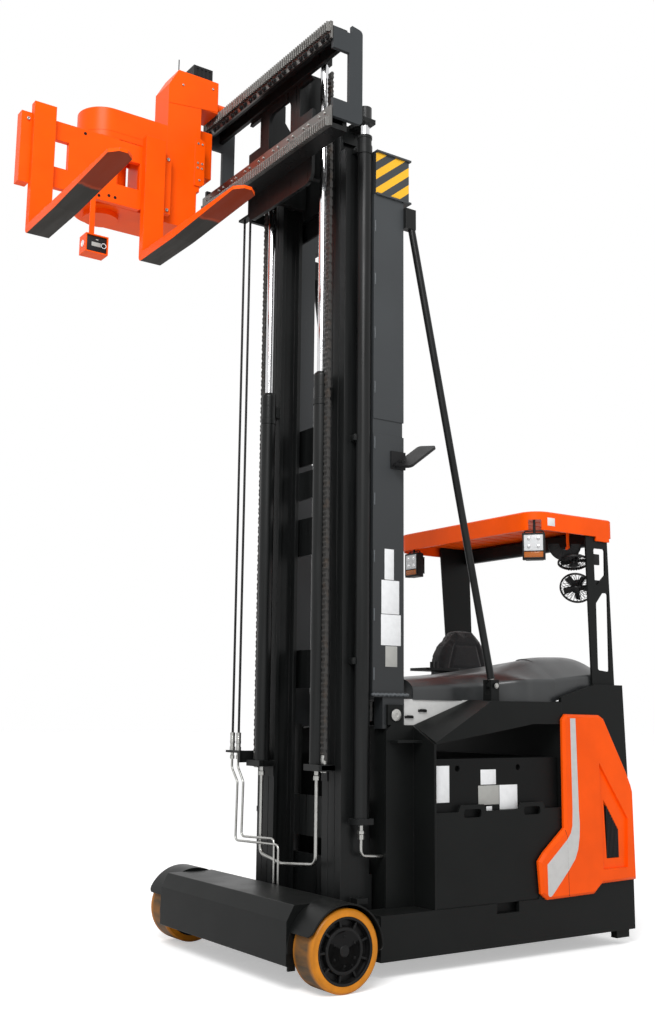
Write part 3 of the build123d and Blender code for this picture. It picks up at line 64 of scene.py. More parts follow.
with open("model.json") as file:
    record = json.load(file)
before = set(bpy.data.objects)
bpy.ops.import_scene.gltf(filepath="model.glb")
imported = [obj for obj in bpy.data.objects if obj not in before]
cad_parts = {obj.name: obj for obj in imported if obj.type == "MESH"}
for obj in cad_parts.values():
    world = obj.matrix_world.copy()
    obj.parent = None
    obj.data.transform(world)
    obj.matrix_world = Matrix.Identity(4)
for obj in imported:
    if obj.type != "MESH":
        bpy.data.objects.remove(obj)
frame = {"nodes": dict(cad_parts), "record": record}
CAD_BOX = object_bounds()
NODES = frame["nodes"]
MM = 0.001
AXLE_X = sum(corner[0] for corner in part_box("hub_left")) / 2
UP = (0, 0, 1)
OUT = (0, 1, 0)
AHEAD = (1, 0, 0)

# Places on the solids, in millimetres from the load axle and the middle
BOX_FACE = 450.0  # outer faces of the mast's boxes
PIN_X, PIN_Z = -490, 1165  # pins that the mast's boxes hang on
LIFT_X, LIFT_Y = -322, 421  # main lift cylinders
FREE_X, FREE_Y = -180, 253  # free-lift cylinders
CHAIN_Y = 310  # middle of each pair of chain rods
HOSE_X, HOSE_YS = -130, (-473, -410)  # hoses up the mast
STRUT_X = -1024  # lower ends of the mast's struts
RACK_FACE = 51.5  # front of the traverse beams where the racks are screwed on
HEAD_FACE = -450  # front of the head's column
FORK_FACE = -395  # front of the fork carriage's plate


def at(x, y, z):
    """A point in millimetres from the load axle, as the frame's metres."""
    return Vector((AXLE_X + x * MM, y * MM, z * MM))


def millimetres(point):
    """A place in the frame's metres, as millimetres from the load axle."""
    return Vector(((point.x - AXLE_X) / MM, point.y / MM, point.z / MM))


# Shader maths


class Field:
    """What one socket gives over a surface. Python's operators add the Math nodes."""

    def __init__(self, finish, socket):
        self.finish = finish
        self.socket = socket

    def _math(self, operation, first, second=None):
        values = {0: first} if second is None else {0: first, 1: second}
        kind = "ShaderNodeMath" if self.socket.type == "VALUE" else "ShaderNodeVectorMath"
        return self.finish.node(kind, {"operation": operation}, values)

    def __add__(self, other):
        return self._math("ADD", self, other)

    def __radd__(self, other):
        return self._math("ADD", other, self)

    def __sub__(self, other):
        return self._math("SUBTRACT", self, other)

    def __rsub__(self, other):
        return self._math("SUBTRACT", other, self)

    def __mul__(self, other):
        return self._math("MULTIPLY", self, other)

    def __rmul__(self, other):
        return self._math("MULTIPLY", other, self)

    def __truediv__(self, other):
        return self._math("DIVIDE", self, other)

    def __gt__(self, edge):
        return self._math("GREATER_THAN", self, edge)

    def __lt__(self, edge):
        return self._math("LESS_THAN", self, edge)

    def __abs__(self):
        return self._math("ABSOLUTE", self)

    def fraction(self):
        """The part after the decimal point."""
        return self._math("FRACT", self)

    def axis(self, index):
        """One of a vector's three numbers."""
        return self.finish.node("ShaderNodeSeparateXYZ", {}, {0: self}, index)

    def rise(self, low, high, start=0.0, end=1.0):
        """Grows smoothly from start to end while this goes from low to high."""
        settings = {"interpolation_type": "SMOOTHSTEP"}
        return self.finish.node("ShaderNodeMapRange", settings, {0: self, 1: low, 2: high, 3: start, 4: end})

    def between(self, low, high):
        """One inside a range and nought outside it."""
        return (self > low) * (self < high)

    def shades(self, paint, dark, pale=1.0):
        """A paint made this much darker where this is nought, and this much paler where it is one."""
        return self.mix([dark * c for c in paint], [pale * c for c in paint])

    def mix(self, without, with_it):
        """The first colour where this is nought and the second where it is one."""
        settings = {"data_type": "RGBA", "clamp_factor": True}
        return self.finish.node("ShaderNodeMix", settings, {0: self, 6: without, 7: with_it}, 2)


class Finish:
    """A material that is written as expressions on fields."""

    def __init__(self, name):
        self.material = bpy.data.materials.new(name)
        self.material.use_nodes = True
        self.tree = self.material.node_tree
        self.tree.nodes.clear()
        self.place = self.node("ShaderNodeTexCoord", {}, {}, "Object")

    def node(self, kind, settings, values, output=0):
        """Adds a node, first its settings and then the values or links of its sockets."""
        made = self.tree.nodes.new(kind)
        for key, value in settings.items():
            setattr(made, key, value)
        for key, value in values.items():
            if isinstance(value, Field):
                self.tree.links.new(value.socket, made.inputs[key])
            elif hasattr(value, "__len__") and len(value) == 3 and made.inputs[key].type == "RGBA":
                made.inputs[key].default_value = (*value, 1.0)
            else:
                made.inputs[key].default_value = value
        return Field(self, made.outputs[output])

    def noise(self, size, detail=3.0, stretch=(1.0, 1.0, 1.0)):
        """Noise from nought to one, with blotches about this many metres across."""
        spot = self.node("ShaderNodeMapping", {}, {"Vector": self.place, "Scale": stretch})
        values = {"Vector": spot, "Scale": 1.0 / size, "Detail": detail, "Roughness": 0.55}
        return self.node("ShaderNodeTexNoise", {}, values)

    def facing_up(self):
        """One on level faces that look up, nought on walls and undersides."""
        normal = self.node("ShaderNodeNewGeometry", {}, {}, "Normal")
        return normal.axis(2).rise(0.5, 0.95)

    def edges(self, radius):
        """One along sharp outer and inner edges, and the normal that rounds them off."""
        soft = self.node("ShaderNodeBevel", {"samples": 6}, {"Radius": radius})
        flat = self.node("ShaderNodeNewGeometry", {}, {}, "Normal")
        like = self.node("ShaderNodeVectorMath", {"operation": "DOT_PRODUCT"}, {0: soft, 1: flat}, 1)
        return (1.0 - like).rise(0.004, 0.06), soft

    def bump(self, height, depth, normal=None):
        """A normal that follows a height field, this many metres deep."""
        values = {"Height": height, "Distance": depth, "Strength": 1.0}
        if normal is not None:
            values["Normal"] = normal
        return self.node("ShaderNodeBump", {}, values)

    def surface(self, **values):
        """Ends the material with one shader. An underscore stands for a space in a socket's name."""
        names = {key.replace("_", " "): value for key, value in values.items()}
        shader = self.node("ShaderNodeBsdfPrincipled", {}, names)
        end = self.tree.nodes.new("ShaderNodeOutputMaterial")
        self.tree.links.new(shader.socket, end.inputs["Surface"])
        return self.material


# Sizes and colours


def colour(name, words, default):
    """A paint colour that a user can change."""
    return FloatVectorProperty(name=name, description=words, default=default, subtype="COLOR", size=3,
                               min=0, max=1)


def length(name, words, default, low, high):
    """A length that a user can change, in metres."""
    return FloatProperty(name=name, description=words, default=default, min=low, max=high,
                         subtype="DISTANCE", unit="LENGTH")


class ForkliftPaint(PropertyGroup):
    """Colours of the truck's finishes."""

    orange: colour("Orange", "Gloss paint of the head, forks, guard and side covers", (0.95, 0.092, 0.001))
    frame: colour("Frame", "Fine textured paint of the chassis and body", (0.0065, 0.0072, 0.007))
    mast: colour("Mast", "Semi-gloss paint of the mast's rails", (0.0055, 0.006, 0.006))
    box: colour("Mast box", "Paint of the boxes beside the mast", (0.036, 0.04, 0.043))
    tyre: colour("Tyre", "Polyurethane of the load wheels", (0.6, 0.21, 0.008))
    stripe: colour("Stripes", "Yellow of the stripes at the top of the mast", (0.86, 0.46, 0.02))
    silver: colour("Silver", "Band on the side covers and the plates", (0.55, 0.55, 0.54))
    moulding: colour("Moulding", "Grained plastic of the hood", (0.021, 0.023, 0.024))
    floor: colour("Floor", "Studio floor", (0.93, 0.93, 0.93))


class ForkliftSizes(PropertyGroup):
    """Sizes of the pieces that are added to the solids."""

    chain_pitch: length("Chain pitch", "Distance between the leaf chain's pins", 0.0254, 0.015, 0.05)
    chain_plates: IntProperty(name="Chain plates", description="Plates side by side in each link", default=4,
                              min=2, max=6)
    weld: length("Weld", "Radius of a weld bead", 0.004, 0.001, 0.01)
    seat_swell: length("Seat swell", "How far the seat's covers may blow out", 0.016, 0.0, 0.04)
    lamp_strength: FloatProperty(name="Lamp strength", description="Power of the studio's main lamp",
                                 default=640.0, min=0.0, max=5000.0, unit="POWER")


# Mesh making


class Shape:
    """A mesh in the making. Places are in millimetres from the load axle."""

    def __init__(self):
        self.mesh = bmesh.new()

    def _turned(self, verts, centre, axis):
        """Puts forms made along Z at the origin on a centre, along an axis."""
        turn = Vector(UP).rotation_difference(Vector(axis)).to_matrix().to_4x4()
        bmesh.ops.transform(self.mesh, matrix=Matrix.Translation(centre) @ turn, verts=verts)

    def block(self, x, y, z, bevel=0.0, turn=0.0):
        """A block between two values on each axis, with rounded edges, turned about its upright axis."""
        verts = bmesh.ops.create_cube(self.mesh, size=1.0)["verts"]
        size = [abs(pair[1] - pair[0]) * MM for pair in (x, y, z)]
        bmesh.ops.scale(self.mesh, vec=size, verts=verts)
        if bevel:
            edges = {edge for vert in verts for edge in vert.link_edges}
            made = bmesh.ops.bevel(self.mesh, geom=list(edges), offset=min(bevel * MM, 0.45 * min(size)),
                                   segments=2, affect="EDGES", profile=0.5)
            kept = {vert for vert in verts if vert.is_valid}
            verts = list({vert for face in made["faces"] for vert in face.verts} | kept)
        centre = at(sum(x) / 2, sum(y) / 2, sum(z) / 2)
        matrix = Matrix.Translation(centre) @ Matrix.Rotation(math.radians(turn), 4, "Z")
        bmesh.ops.transform(self.mesh, matrix=matrix, verts=verts)

    def turned(self, centre, axis, profile, sides=32):
        """A turned form: (radius, distance along the axis) pairs in millimetres, from a centre."""
        rings = []
        verts = []
        for radius, along in profile:
            if radius <= 0:
                ring = [self.mesh.verts.new((0, 0, along * MM))]
            else:
                ring = []
                for i in range(sides):
                    a = 2 * math.pi * (i + 0.5) / sides
                    spot = (radius * MM * math.cos(a), radius * MM * math.sin(a), along * MM)
                    ring.append(self.mesh.verts.new(spot))
            rings.append(ring)
            verts += ring
        for low, high in zip(rings, rings[1:]):
            self._bridge(low, high)
        for end in (rings[0], rings[-1]):
            if len(end) > 2 and profile[0] != profile[-1]:
                self.mesh.faces.new(end)
        self._turned(verts, centre, axis)

    def _bridge(self, low, high):
        """Faces between two rings of the same count, or a ring and a point."""
        count = max(len(low), len(high))
        if count == 1:
            return
        for i in range(count):
            j = (i + 1) % count
            corners = [low[i % len(low)], low[j % len(low)], high[j % len(high)], high[i % len(high)]]
            unique = list(dict.fromkeys(corners))
            if len(unique) > 2:
                self.mesh.faces.new(unique)

    def bolt(self, centre, axis, radius):
        """A hexagon bolt head with its washer, seated on a face."""
        self.rod(centre, axis, radius * 1.5, 1.6, 20)
        head, wide = radius * 0.75, radius * 1.15
        top = head + 1.2
        self.turned(centre, axis, [(wide, 0), (wide, head), (radius * 0.95, top), (0, top)], 6)

    def rod(self, centre, axis, radius, length, sides=12):
        """A plain bar with a round or many-sided section, from a centre along an axis."""
        self.turned(centre, axis, [(0, 0), (radius, 0), (radius, length), (0, length)], sides)

    def union(self, centre, wide, height, neck, shoulder, length):
        """A pipe's hexagon nut that stands upright, with the narrower hexagon above it."""
        profile = [(0, 0), (wide, 0), (wide, height), (neck, shoulder), (neck, length), (0, length)]
        self.turned(centre, UP, profile, 6)

    def socket_screw(self, centre, axis, radius):
        """A round head with a hollow for its key."""
        height = radius * 0.9
        self.turned(centre, axis, [
            (radius, 0), (radius, height - 1), (radius - 1, height), (radius * 0.5, height),
            (radius * 0.5, height * 0.4), (0, height * 0.4),
        ], 16)

    def plate(self, outline, axis, low, high, bevel=0.0):
        """A flat form: an outline in the other two axes, between two values on this axis."""
        low_ring, high_ring = [], []
        for a, b in outline:
            for value, ring in ((low, low_ring), (high, high_ring)):
                spot = {"x": (value, a, b), "y": (a, value, b), "z": (a, b, value)}[axis]
                ring.append(self.mesh.verts.new(at(*spot)))
        faces = [self.mesh.faces.new(low_ring), self.mesh.faces.new(high_ring)]
        self._bridge(low_ring, high_ring)
        if bevel:
            rim = list(faces[1].edges)
            bmesh.ops.bevel(self.mesh, geom=rim, offset=bevel * MM, segments=2, affect="EDGES", profile=0.6)

    def loft(self, sections, closed=True, caps=True):
        """A skin over sections, each a list of points with the same count."""
        rings = [[self.mesh.verts.new(point) for point in section] for section in sections]
        for low, high in zip(rings, rings[1:]):
            count = len(low)
            for i in range(count if closed else count - 1):
                j = (i + 1) % count
                self.mesh.faces.new((low[i], low[j], high[j], high[i]))
        if caps:
            self.mesh.faces.new(rings[0])
            self.mesh.faces.new(rings[-1])

    def tube(self, points, radius, bend=0.0, sides=16):
        """A round bar or pipe through points, with bends of one radius at its corners."""
        path = rounded_path([at(*point) for point in points], bend * MM)
        normal = None
        sections = []
        for i, point in enumerate(path):
            before = (point - path[i - 1]).normalized() if i else (path[1] - point).normalized()
            after = (path[i + 1] - point).normalized() if i + 1 < len(path) else before
            along = (before + after).normalized()
            if normal is None:
                normal = along.orthogonal().normalized()
            normal = (normal - along * normal.dot(along)).normalized()
            across = along.cross(normal)
            ring = []
            for k in range(sides):
                a = 2 * math.pi * k / sides
                ring.append(point + spoke(normal, across, a) * radius * MM)
            sections.append(ring)
        self.loft(sections)

    def mirrored(self):
        """Adds the same forms on the truck's other side."""
        everything = self.mesh.verts[:] + self.mesh.edges[:] + self.mesh.faces[:]
        copy = bmesh.ops.duplicate(self.mesh, geom=everything)
        verts = [item for item in copy["geom"] if isinstance(item, bmesh.types.BMVert)]
        bmesh.ops.scale(self.mesh, vec=(1, -1, 1), verts=verts)

    def made(self, name, body, finish, slot, smooth=35.0):
        """Ends the shape: an object that rides on a body, with its finish."""
        bmesh.ops.recalc_face_normals(self.mesh, faces=self.mesh.faces)
        data = bpy.data.meshes.new(name)
        self.mesh.to_mesh(data)
        self.mesh.free()
        data.shade_smooth()
        data.set_sharp_from_angle(angle=math.radians(smooth))
        piece = bpy.data.objects.new(name, data)
        bpy.context.scene.collection.objects.link(piece)
        data.materials.append(bpy.data.materials[finish])
        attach(piece, body)
        return piece


def spoke(first, second, a):
    """The direction at an angle from the first towards the second of two square directions."""
    return first * math.cos(a) + second * math.sin(a)


def cut_corner(start, corner, end, steps):
    """Points on the curve that turns a corner."""
    shares = [i / steps for i in range(steps + 1)]
    return [start * (1 - t) ** 2 + corner * 2 * t * (1 - t) + end * t * t for t in shares]


def rounded_path(points, bend):
    """The points of a bent bar's middle line, each corner turned on an arc."""
    path = [points[0]]
    for before, corner, after in zip(points, points[1:], points[2:]):
        back, ahead = (before - corner), (after - corner)
        angle = back.angle(ahead)
        cut = min(bend / math.tan(angle / 2), 0.49 * back.length, 0.49 * ahead.length) if bend else 0
        if not cut:
            path.append(corner)
            continue
        start, end = corner + back.normalized() * cut, corner + ahead.normalized() * cut
        path += cut_corner(start, corner, end, max(2, round(math.degrees(math.pi - angle) / 12)))
    return path + [points[-1]]


def soft_corners(corners):
    """Points along (across, height, cut) corners, each corner turned on a curve of the same count."""
    points = []
    for k, (y, z, cut) in enumerate(corners):
        here = Vector((y, z))
        if not cut:
            points.append(here)
            continue
        back, ahead = Vector(corners[k - 1][:2]) - here, Vector(corners[k + 1][:2]) - here
        start = here + back * min(cut / back.length, 0.49)
        end = here + ahead * min(cut / ahead.length, 0.49)
        points += cut_corner(start, here, end, 6)
    return points


def smooth_rows(rows, count):
    """Rows of numbers led by x, filled in smoothly at even steps of x between the given ones."""
    filled = []
    for i in range(count + 1):
        x = rows[0][0] + (rows[-1][0] - rows[0][0]) * i / count
        onward = rows[0][0] - rows[-1][0]
        k = max(n for n in range(len(rows) - 1) if n == 0 or (rows[n][0] - x) * onward >= 0)
        a, b = rows[k], rows[k + 1]
        before, after = rows[max(k - 1, 0)], rows[min(k + 2, len(rows) - 1)]
        t = (x - a[0]) / (b[0] - a[0])
        row = [x]
        for n in range(1, len(a)):
            m0 = (b[n] - before[n]) / (b[0] - before[0]) * (b[0] - a[0])
            m1 = (after[n] - a[n]) / (after[0] - a[0]) * (b[0] - a[0])
            row.append(a[n] * (2 * t ** 3 - 3 * t * t + 1) + m0 * (t ** 3 - 2 * t * t + t)
                       + b[n] * (3 * t * t - 2 * t ** 3) + m1 * (t ** 3 - t * t))
        filled.append(row)
    return filled


# Finishes

DUST = (0.16, 0.15, 0.135)
PRIMER = (0.09, 0.085, 0.08)


def coat(name, paint, gloss, texture, wear=0.3, dust=0.12, sheen=0.2):
    """Sprayed paint: a fine texture, soft edges that chip a little, blotches and settled dust."""
    finish = Finish(name)
    edge, soft = finish.edges(0.0022)
    blotch = finish.noise(0.3, 4)
    grain = finish.noise(0.0022, 2)
    settled = finish.facing_up() * finish.noise(0.07, 4).rise(0.35, 0.75) * dust
    chipped = edge * finish.noise(0.012, 4).rise(0.56, 0.66) * wear
    tone = blotch.rise(0.25, 0.75).mix([0.9 * c for c in paint], [min(1.0, 1.08 * c) for c in paint])
    skin = chipped.mix(settled.mix(tone, DUST), PRIMER)
    rough = blotch.rise(0.3, 0.7, gloss - 0.04, gloss + 0.05) + settled * 0.5
    return finish.surface(Base_Color=skin, Roughness=rough, Normal=finish.bump(grain, texture, soft),
                          Specular_IOR_Level=sheen)


def rail_paint(name, paint):
    """Mast paint with grease that has run down it and bright lines where rollers pass."""
    finish = Finish(name)
    edge, soft = finish.edges(0.002)
    runs = finish.noise(0.02, 4, (1.0, 1.0, 0.03))
    film = finish.noise(0.25, 3)
    shade = runs.rise(0.3, 0.75).shades(paint, 1.0, 1.7)
    rubbed = edge * runs.rise(0.45, 0.6) * 0.35
    rough = runs.rise(0.3, 0.7, 0.26, 0.4) + film.rise(0.4, 0.7) * 0.08
    grain = finish.noise(0.003, 2)
    return finish.surface(Base_Color=rubbed.mix(shade, (0.1, 0.1, 0.1)), Roughness=rough,
                          Normal=finish.bump(grain, 0.00006, soft), Specular_IOR_Level=0.22)


def striped_paint(name, paint, stripe, low, high, pitch):
    """The mast boxes' paint, with slanted warning stripes between two heights on their outer faces, and
    painted shade that darkens it towards the bottom.
    """
    finish = Finish(name)
    edge, soft = finish.edges(0.0025)
    x, y, z = (finish.place.axis(i) for i in range(3))
    slant = 0.8
    band = ((x * slant + z) / pitch).fraction() > 0.5
    face = BOX_FACE * MM
    striped = band * abs(y).between(face - 0.0005, face + 0.0015) * z.between(low, high)
    blotch = finish.noise(0.4, 4)
    tone = blotch.rise(0.25, 0.75).shades(paint, 0.9, 1.12)
    # Painted shade: the paint is halved at the bottom of the boxes and grows to its full tone higher up.
    tone = z.rise(1.3, 3.4).mix([0.5 * c for c in paint], tone)
    scuff = finish.noise(0.01, 5).rise(0.64, 0.7) * 0.5
    skin = striped.mix(tone, scuff.mix(stripe, PRIMER))
    chipped = edge * finish.noise(0.01, 4).rise(0.55, 0.65) * 0.4
    return finish.surface(Base_Color=chipped.mix(skin, PRIMER), Roughness=blotch.rise(0.3, 0.7, 0.42, 0.52),
                          Normal=finish.bump(finish.noise(0.0022, 2), 0.0001, soft), Specular_IOR_Level=0.4)


def fork_paint(name, paint):
    """Fork paint: scraped along the edges, rubbed dark under the blades from the heel, and painted shade, a
    dark copy of the orange, under the blades towards the tips.
    """
    finish = Finish(name)
    edge, soft = finish.edges(0.003)
    y = finish.place.axis(1)
    down = 1.0 - finish.node("ShaderNodeNewGeometry", {}, {}, "Normal").axis(2).rise(-0.95, -0.6)
    streaks = finish.noise(0.05, 4, (1.0, 0.12, 1.0))
    along = y + streaks * 0.06
    bare = down * along.rise(0.29, 0.33, 1.0, 0.0)
    # Under the blades towards the tips: a dark copy of the orange, painted shade.
    painted_shade_under_tips = down * along.rise(0.29, 0.33)
    chipped = edge * finish.noise(0.012, 4).rise(0.5, 0.62) * 0.7
    tone = finish.noise(0.3, 4).rise(0.25, 0.75).shades(paint, 0.9, 1.06)
    skin = bare.mix((painted_shade_under_tips * 0.9).mix(tone, [c * 0.13 for c in paint]), (0.03, 0.027, 0.023))
    return finish.surface(Base_Color=chipped.mix(skin, PRIMER), Roughness=streaks.rise(0.3, 0.7, 0.34, 0.5),
                          Normal=finish.bump(finish.noise(0.003, 2), 0.00008, soft), Specular_IOR_Level=0.1)


def capped_rod(name, paint, edge_z):
    """Hard chrome up to a height, and the painted cap above it."""
    finish = Finish(name)
    drawn = finish.noise(0.004, 4, (1.0, 1.0, 0.05))
    cap = finish.place.axis(2) > edge_z
    shade = drawn.rise(0.3, 0.7).mix((0.6, 0.6, 0.61), (0.72, 0.72, 0.73))
    return finish.surface(Base_Color=cap.mix(shade, paint), Metallic=1.0 - cap,
                          Roughness=drawn.rise(0.2, 0.8, 0.08, 0.2) + cap * 0.25,
                          Normal=finish.bump(drawn, 0.00003))


def tyre_rubber(name, paint):
    """Amber polyurethane: clean on its sides, scuffed dark where it rolls."""
    finish = Finish(name)
    soft = finish.edges(0.003)[1]
    flat = finish.node("ShaderNodeVectorMath", {"operation": "MULTIPLY"}, {0: finish.place, 1: (1, 0, 1)})
    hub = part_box("hub_left")
    radius = (hub[1][2] + hub[0][2]) / 2
    ends = {0: flat, 1: (AXLE_X, 0, radius)}
    away = finish.node("ShaderNodeVectorMath", {"operation": "DISTANCE"}, ends, 1)
    tread = away.rise(0.1705, 0.1742)
    across = abs(finish.place.axis(1))
    worn = across.rise(0.605, 0.64) * (1.0 - across.rise(0.715, 0.752))
    marks = finish.noise(0.05, 5, (1.0, 0.25, 1.0)).rise(0.25, 0.7, 0.62, 1.0)
    tone = finish.noise(0.06, 4).rise(0.3, 0.7).shades(paint, 0.86, 1.06)
    grime = away.rise(0.150, 0.171) * 0.25
    skin = (tread * worn * marks).mix(grime.mix(tone, (0.2, 0.07, 0.006)), (0.05, 0.034, 0.016))
    return finish.surface(Base_Color=skin, Roughness=tread.rise(0, 1, 0.32, 0.5) + marks * 0.05,
                          Normal=finish.bump(finish.noise(0.004, 4), 0.0002, soft), Specular_IOR_Level=0.25)


def metal(name, tone, rough, stretch=(1.0, 1.0, 1.0), stain=(0.1, 0.07, 0.05), amount=0.2, full=1.0):
    """Bare metal, drawn or ground in one direction, with stains."""
    finish = Finish(name)
    soft = finish.edges(0.001)[1]
    drawn = finish.noise(0.004, 4, stretch)
    blot = finish.noise(0.05, 5).rise(0.5, 0.72) * amount
    shade = drawn.rise(0.3, 0.7).shades(tone, 0.85)
    gloss = drawn.rise(0.2, 0.8, rough - 0.06, rough + 0.08)
    return finish.surface(Base_Color=blot.mix(shade, stain), Metallic=full, Roughness=gloss,
                          Normal=finish.bump(drawn, 0.00003, soft))


def plastic(name, tone, rough, grain_size=0.0016, depth=0.0001, dust=0.08, sheen=0.25):
    """Moulded plastic with an even grain."""
    finish = Finish(name)
    soft = finish.edges(0.0015)[1]
    grain = {"Vector": finish.place, "Scale": 1.0 / grain_size}
    cells = finish.node("ShaderNodeTexVoronoi", {}, grain, "Distance")
    film = finish.noise(0.12, 4)
    settled = finish.facing_up() * film.rise(0.4, 0.8) * dust
    shade = settled.mix(film.rise(0.3, 0.7).shades(tone, 0.85, 1.15), DUST)
    return finish.surface(Base_Color=shade, Roughness=film.rise(0.3, 0.7, rough - 0.05, rough + 0.06),
                          Normal=finish.bump(cells, depth, soft), Specular_IOR_Level=sheen)


def seat_fabric(name):
    """Black seat cloth: a fine twill with paler threads."""
    finish = Finish(name)
    x, y, z = (finish.place.axis(i) for i in range(3))
    warp = ((x + z) / 0.0021).fraction().rise(0.2, 0.5)
    weft = ((x - z + y) / 0.0021).fraction().rise(0.3, 0.6)
    thread = warp * weft
    film = finish.noise(0.05, 4)
    shade = thread.mix((0.012, 0.012, 0.013), (0.03, 0.03, 0.032))
    worn = (film.rise(0.5, 0.8) * 0.3).mix(shade, (0.045, 0.044, 0.043))
    return finish.surface(Base_Color=worn, Roughness=film.rise(0, 1, 0.78, 0.92),
                          Normal=finish.bump(thread, 0.0003), Sheen_Weight=0.25, Sheen_Roughness=0.4,
                          Specular_IOR_Level=0.25)


def lens(name, tone, glow):
    """A pressed lens or reflector, with fine ribs."""
    finish = Finish(name)
    ribs = (finish.place.axis(2) / 0.004).fraction().rise(0.0, 0.5)
    shade = ribs.shades(tone, 0.8)
    return finish.surface(Base_Color=shade, Roughness=finish.noise(0.01).rise(0, 1, 0.1, 0.2),
                          Normal=finish.bump(ribs, 0.0004), Emission_Color=shade, Emission_Strength=glow)


def printed_plate(name, tone):
    """A blank sheet-metal plate or sticker, a little creased."""
    finish = Finish(name)
    soft = finish.edges(0.0008)[1]
    creases = finish.noise(0.03, 3)
    dirt = finish.noise(0.015, 5).rise(0.6, 0.8) * 0.15
    shade = dirt.mix(creases.rise(0.3, 0.7).shades(tone, 0.93), DUST)
    return finish.surface(Base_Color=shade, Roughness=creases.rise(0, 1, 0.35, 0.5),
                          Normal=finish.bump(creases, 0.0004, soft))


def make_finishes(paint):
    """Every finish of the truck, by name."""
    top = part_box("mast_side_boxes")[1][2]
    coat("orange paint", paint.orange, 0.34, 0.00005, wear=0.25, dust=0.04, sheen=0.14)
    coat("frame paint", paint.frame, 0.38, 0.00012, dust=0.025, sheen=0.13)
    coat("battery steel", (0.005, 0.0054, 0.0054), 0.42, 0.0001, dust=0.02, sheen=0.12)
    rail_paint("mast paint", paint.mast)
    coat("mast box paint", paint.box, 0.46, 0.0001, dust=0.1)
    # Weld beads: the box paint made 2.2 times paler, a painted highlight.
    coat("weld paint with painted highlight", [2.2 * c for c in paint.box], 0.3, 0.0003, dust=0.1, sheen=0.5)
    striped_paint("striped box paint", paint.box, paint.stripe, top - 0.236, top - 0.01, 0.096)
    fork_paint("fork paint", paint.orange)
    capped_rod("main rod chrome", paint.mast, 4.2)
    tyre_rubber("amber tyre", paint.tyre)
    plastic("black tyre", (0.012, 0.012, 0.012), 0.7, 0.004, 0.0002)
    coat("hub paint", (0.005, 0.005, 0.0052), 0.38, 0.0001, wear=0.5, dust=0.05)
    metal("bare steel", (0.2, 0.195, 0.185), 0.34, (1.0, 0.05, 1.0), (0.05, 0.045, 0.04), 0.5)
    metal("hard chrome", (0.72, 0.72, 0.73), 0.12, (1.0, 1.0, 0.05), amount=0.04)
    metal("chain steel", (0.075, 0.073, 0.07), 0.42, amount=0.5, full=0.75)
    metal("plated steel", (0.5, 0.5, 0.48), 0.3, amount=0.25)
    plastic("moulded cover", paint.moulding, 0.33, 0.0022, 0.0001, dust=0.05, sheen=0.6)
    plastic("black plastic", (0.007, 0.007, 0.0075), 0.45)
    plastic("hose rubber", (0.011, 0.011, 0.011), 0.42, 0.003, 0.00005)
    seat_fabric("seat cloth")
    lens("lamp lens", (0.62, 0.63, 0.64), 0.12)
    lens("amber lens", (0.42, 0.11, 0.01), 0.05)
    lens("red lamp", (0.5, 0.02, 0.012), 0.08)
    printed_plate("white plate", (0.78, 0.79, 0.8))
    printed_plate("grey plate", (0.36, 0.36, 0.34))
    printed_plate("silver band", paint.silver)
    printed_plate("panel grey", (0.6, 0.6, 0.59))
    coat("red paint", (0.45, 0.012, 0.006), 0.35, 0.00008, dust=0.03)
    coat("yellow paint", (0.75, 0.5, 0.03), 0.4, 0.00008)


SLOT_FINISH = {
    "orange_paint": "orange paint", "frame_paint": "frame paint", "battery_case": "battery steel",
    "mast_paint": "mast paint", "box_paint": "mast box paint", "tyre": "amber tyre",
    "drive_tyre": "black tyre", "hub_paint": "hub paint", "bare_steel": "bare steel",
    "chrome": "hard chrome", "chain_steel": "chain steel", "pipe_steel": "plated steel",
    "cover_plastic": "moulded cover", "black_plastic": "black plastic", "hose_rubber": "hose rubber",
    "seat_cloth": "seat cloth",
}
NODE_FINISH = {
    "mast_side_boxes": "striped box paint", "forks": "fork paint", "main_lift_rods": "main rod chrome",
}


# Operators


class FORKLIFT_OT_finishes(Operator):
    """Make the finishes and put one on each of the truck's solid parts"""

    bl_idname = "forklift.finishes"
    bl_label = "Paint the Parts"

    def execute(self, context):
        make_finishes(context.scene.forklift_paint)
        for part in frame["record"]["subparts"]:
            node = NODES[part["node"]]
            node.data.materials.clear()
            finish = NODE_FINISH.get(part["node"], SLOT_FINISH[part["material_slot"]])
            node.data.materials.append(bpy.data.materials[finish])
        return {"FINISHED"}


class FORKLIFT_OT_chains(Operator):
    """Replace the lift chains' solids with leaf chains of real plates and pins"""

    bl_idname = "forklift.chains"
    bl_label = "Lift Chains"

    def execute(self, context):
        sizes = context.scene.forklift_sizes
        low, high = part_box("lift_chains")
        middle_x = (low[0] + high[0]) / 2 / MM - AXLE_X / MM
        half = 17.0
        middle_y = high[1] / MM - half
        pitch = sizes.chain_pitch / MM
        links = int((high[2] - low[2]) / sizes.chain_pitch)
        chain = Shape()
        plates = sizes.chain_plates
        spread = half - 0.5
        gap = spread / plates
        for i in range(links):
            start = low[2] / MM + i * pitch
            for k in range(plates):
                y = middle_y - spread + gap * (2 * k + i % 2)
                outline = leaf_outline(middle_x, start, pitch, 9.5)
                chain.plate(outline, "y", y + 0.25, y + gap - 0.25)
        for i in range(links + 1):
            z = low[2] / MM + i * pitch
            chain.rod(at(middle_x, middle_y - half, z), OUT, 3.6, 2 * half, 10)
        chain.mirrored()
        made = chain.made("leaf_chains", "inner_mast", "chain steel", "chain_steel")
        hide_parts("lift_chains")
        travel = far_end("free_lift")
        span = high[2] - low[2]
        keep = 1 - abs(travel) / span
        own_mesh(made)
        return {"FINISHED"}


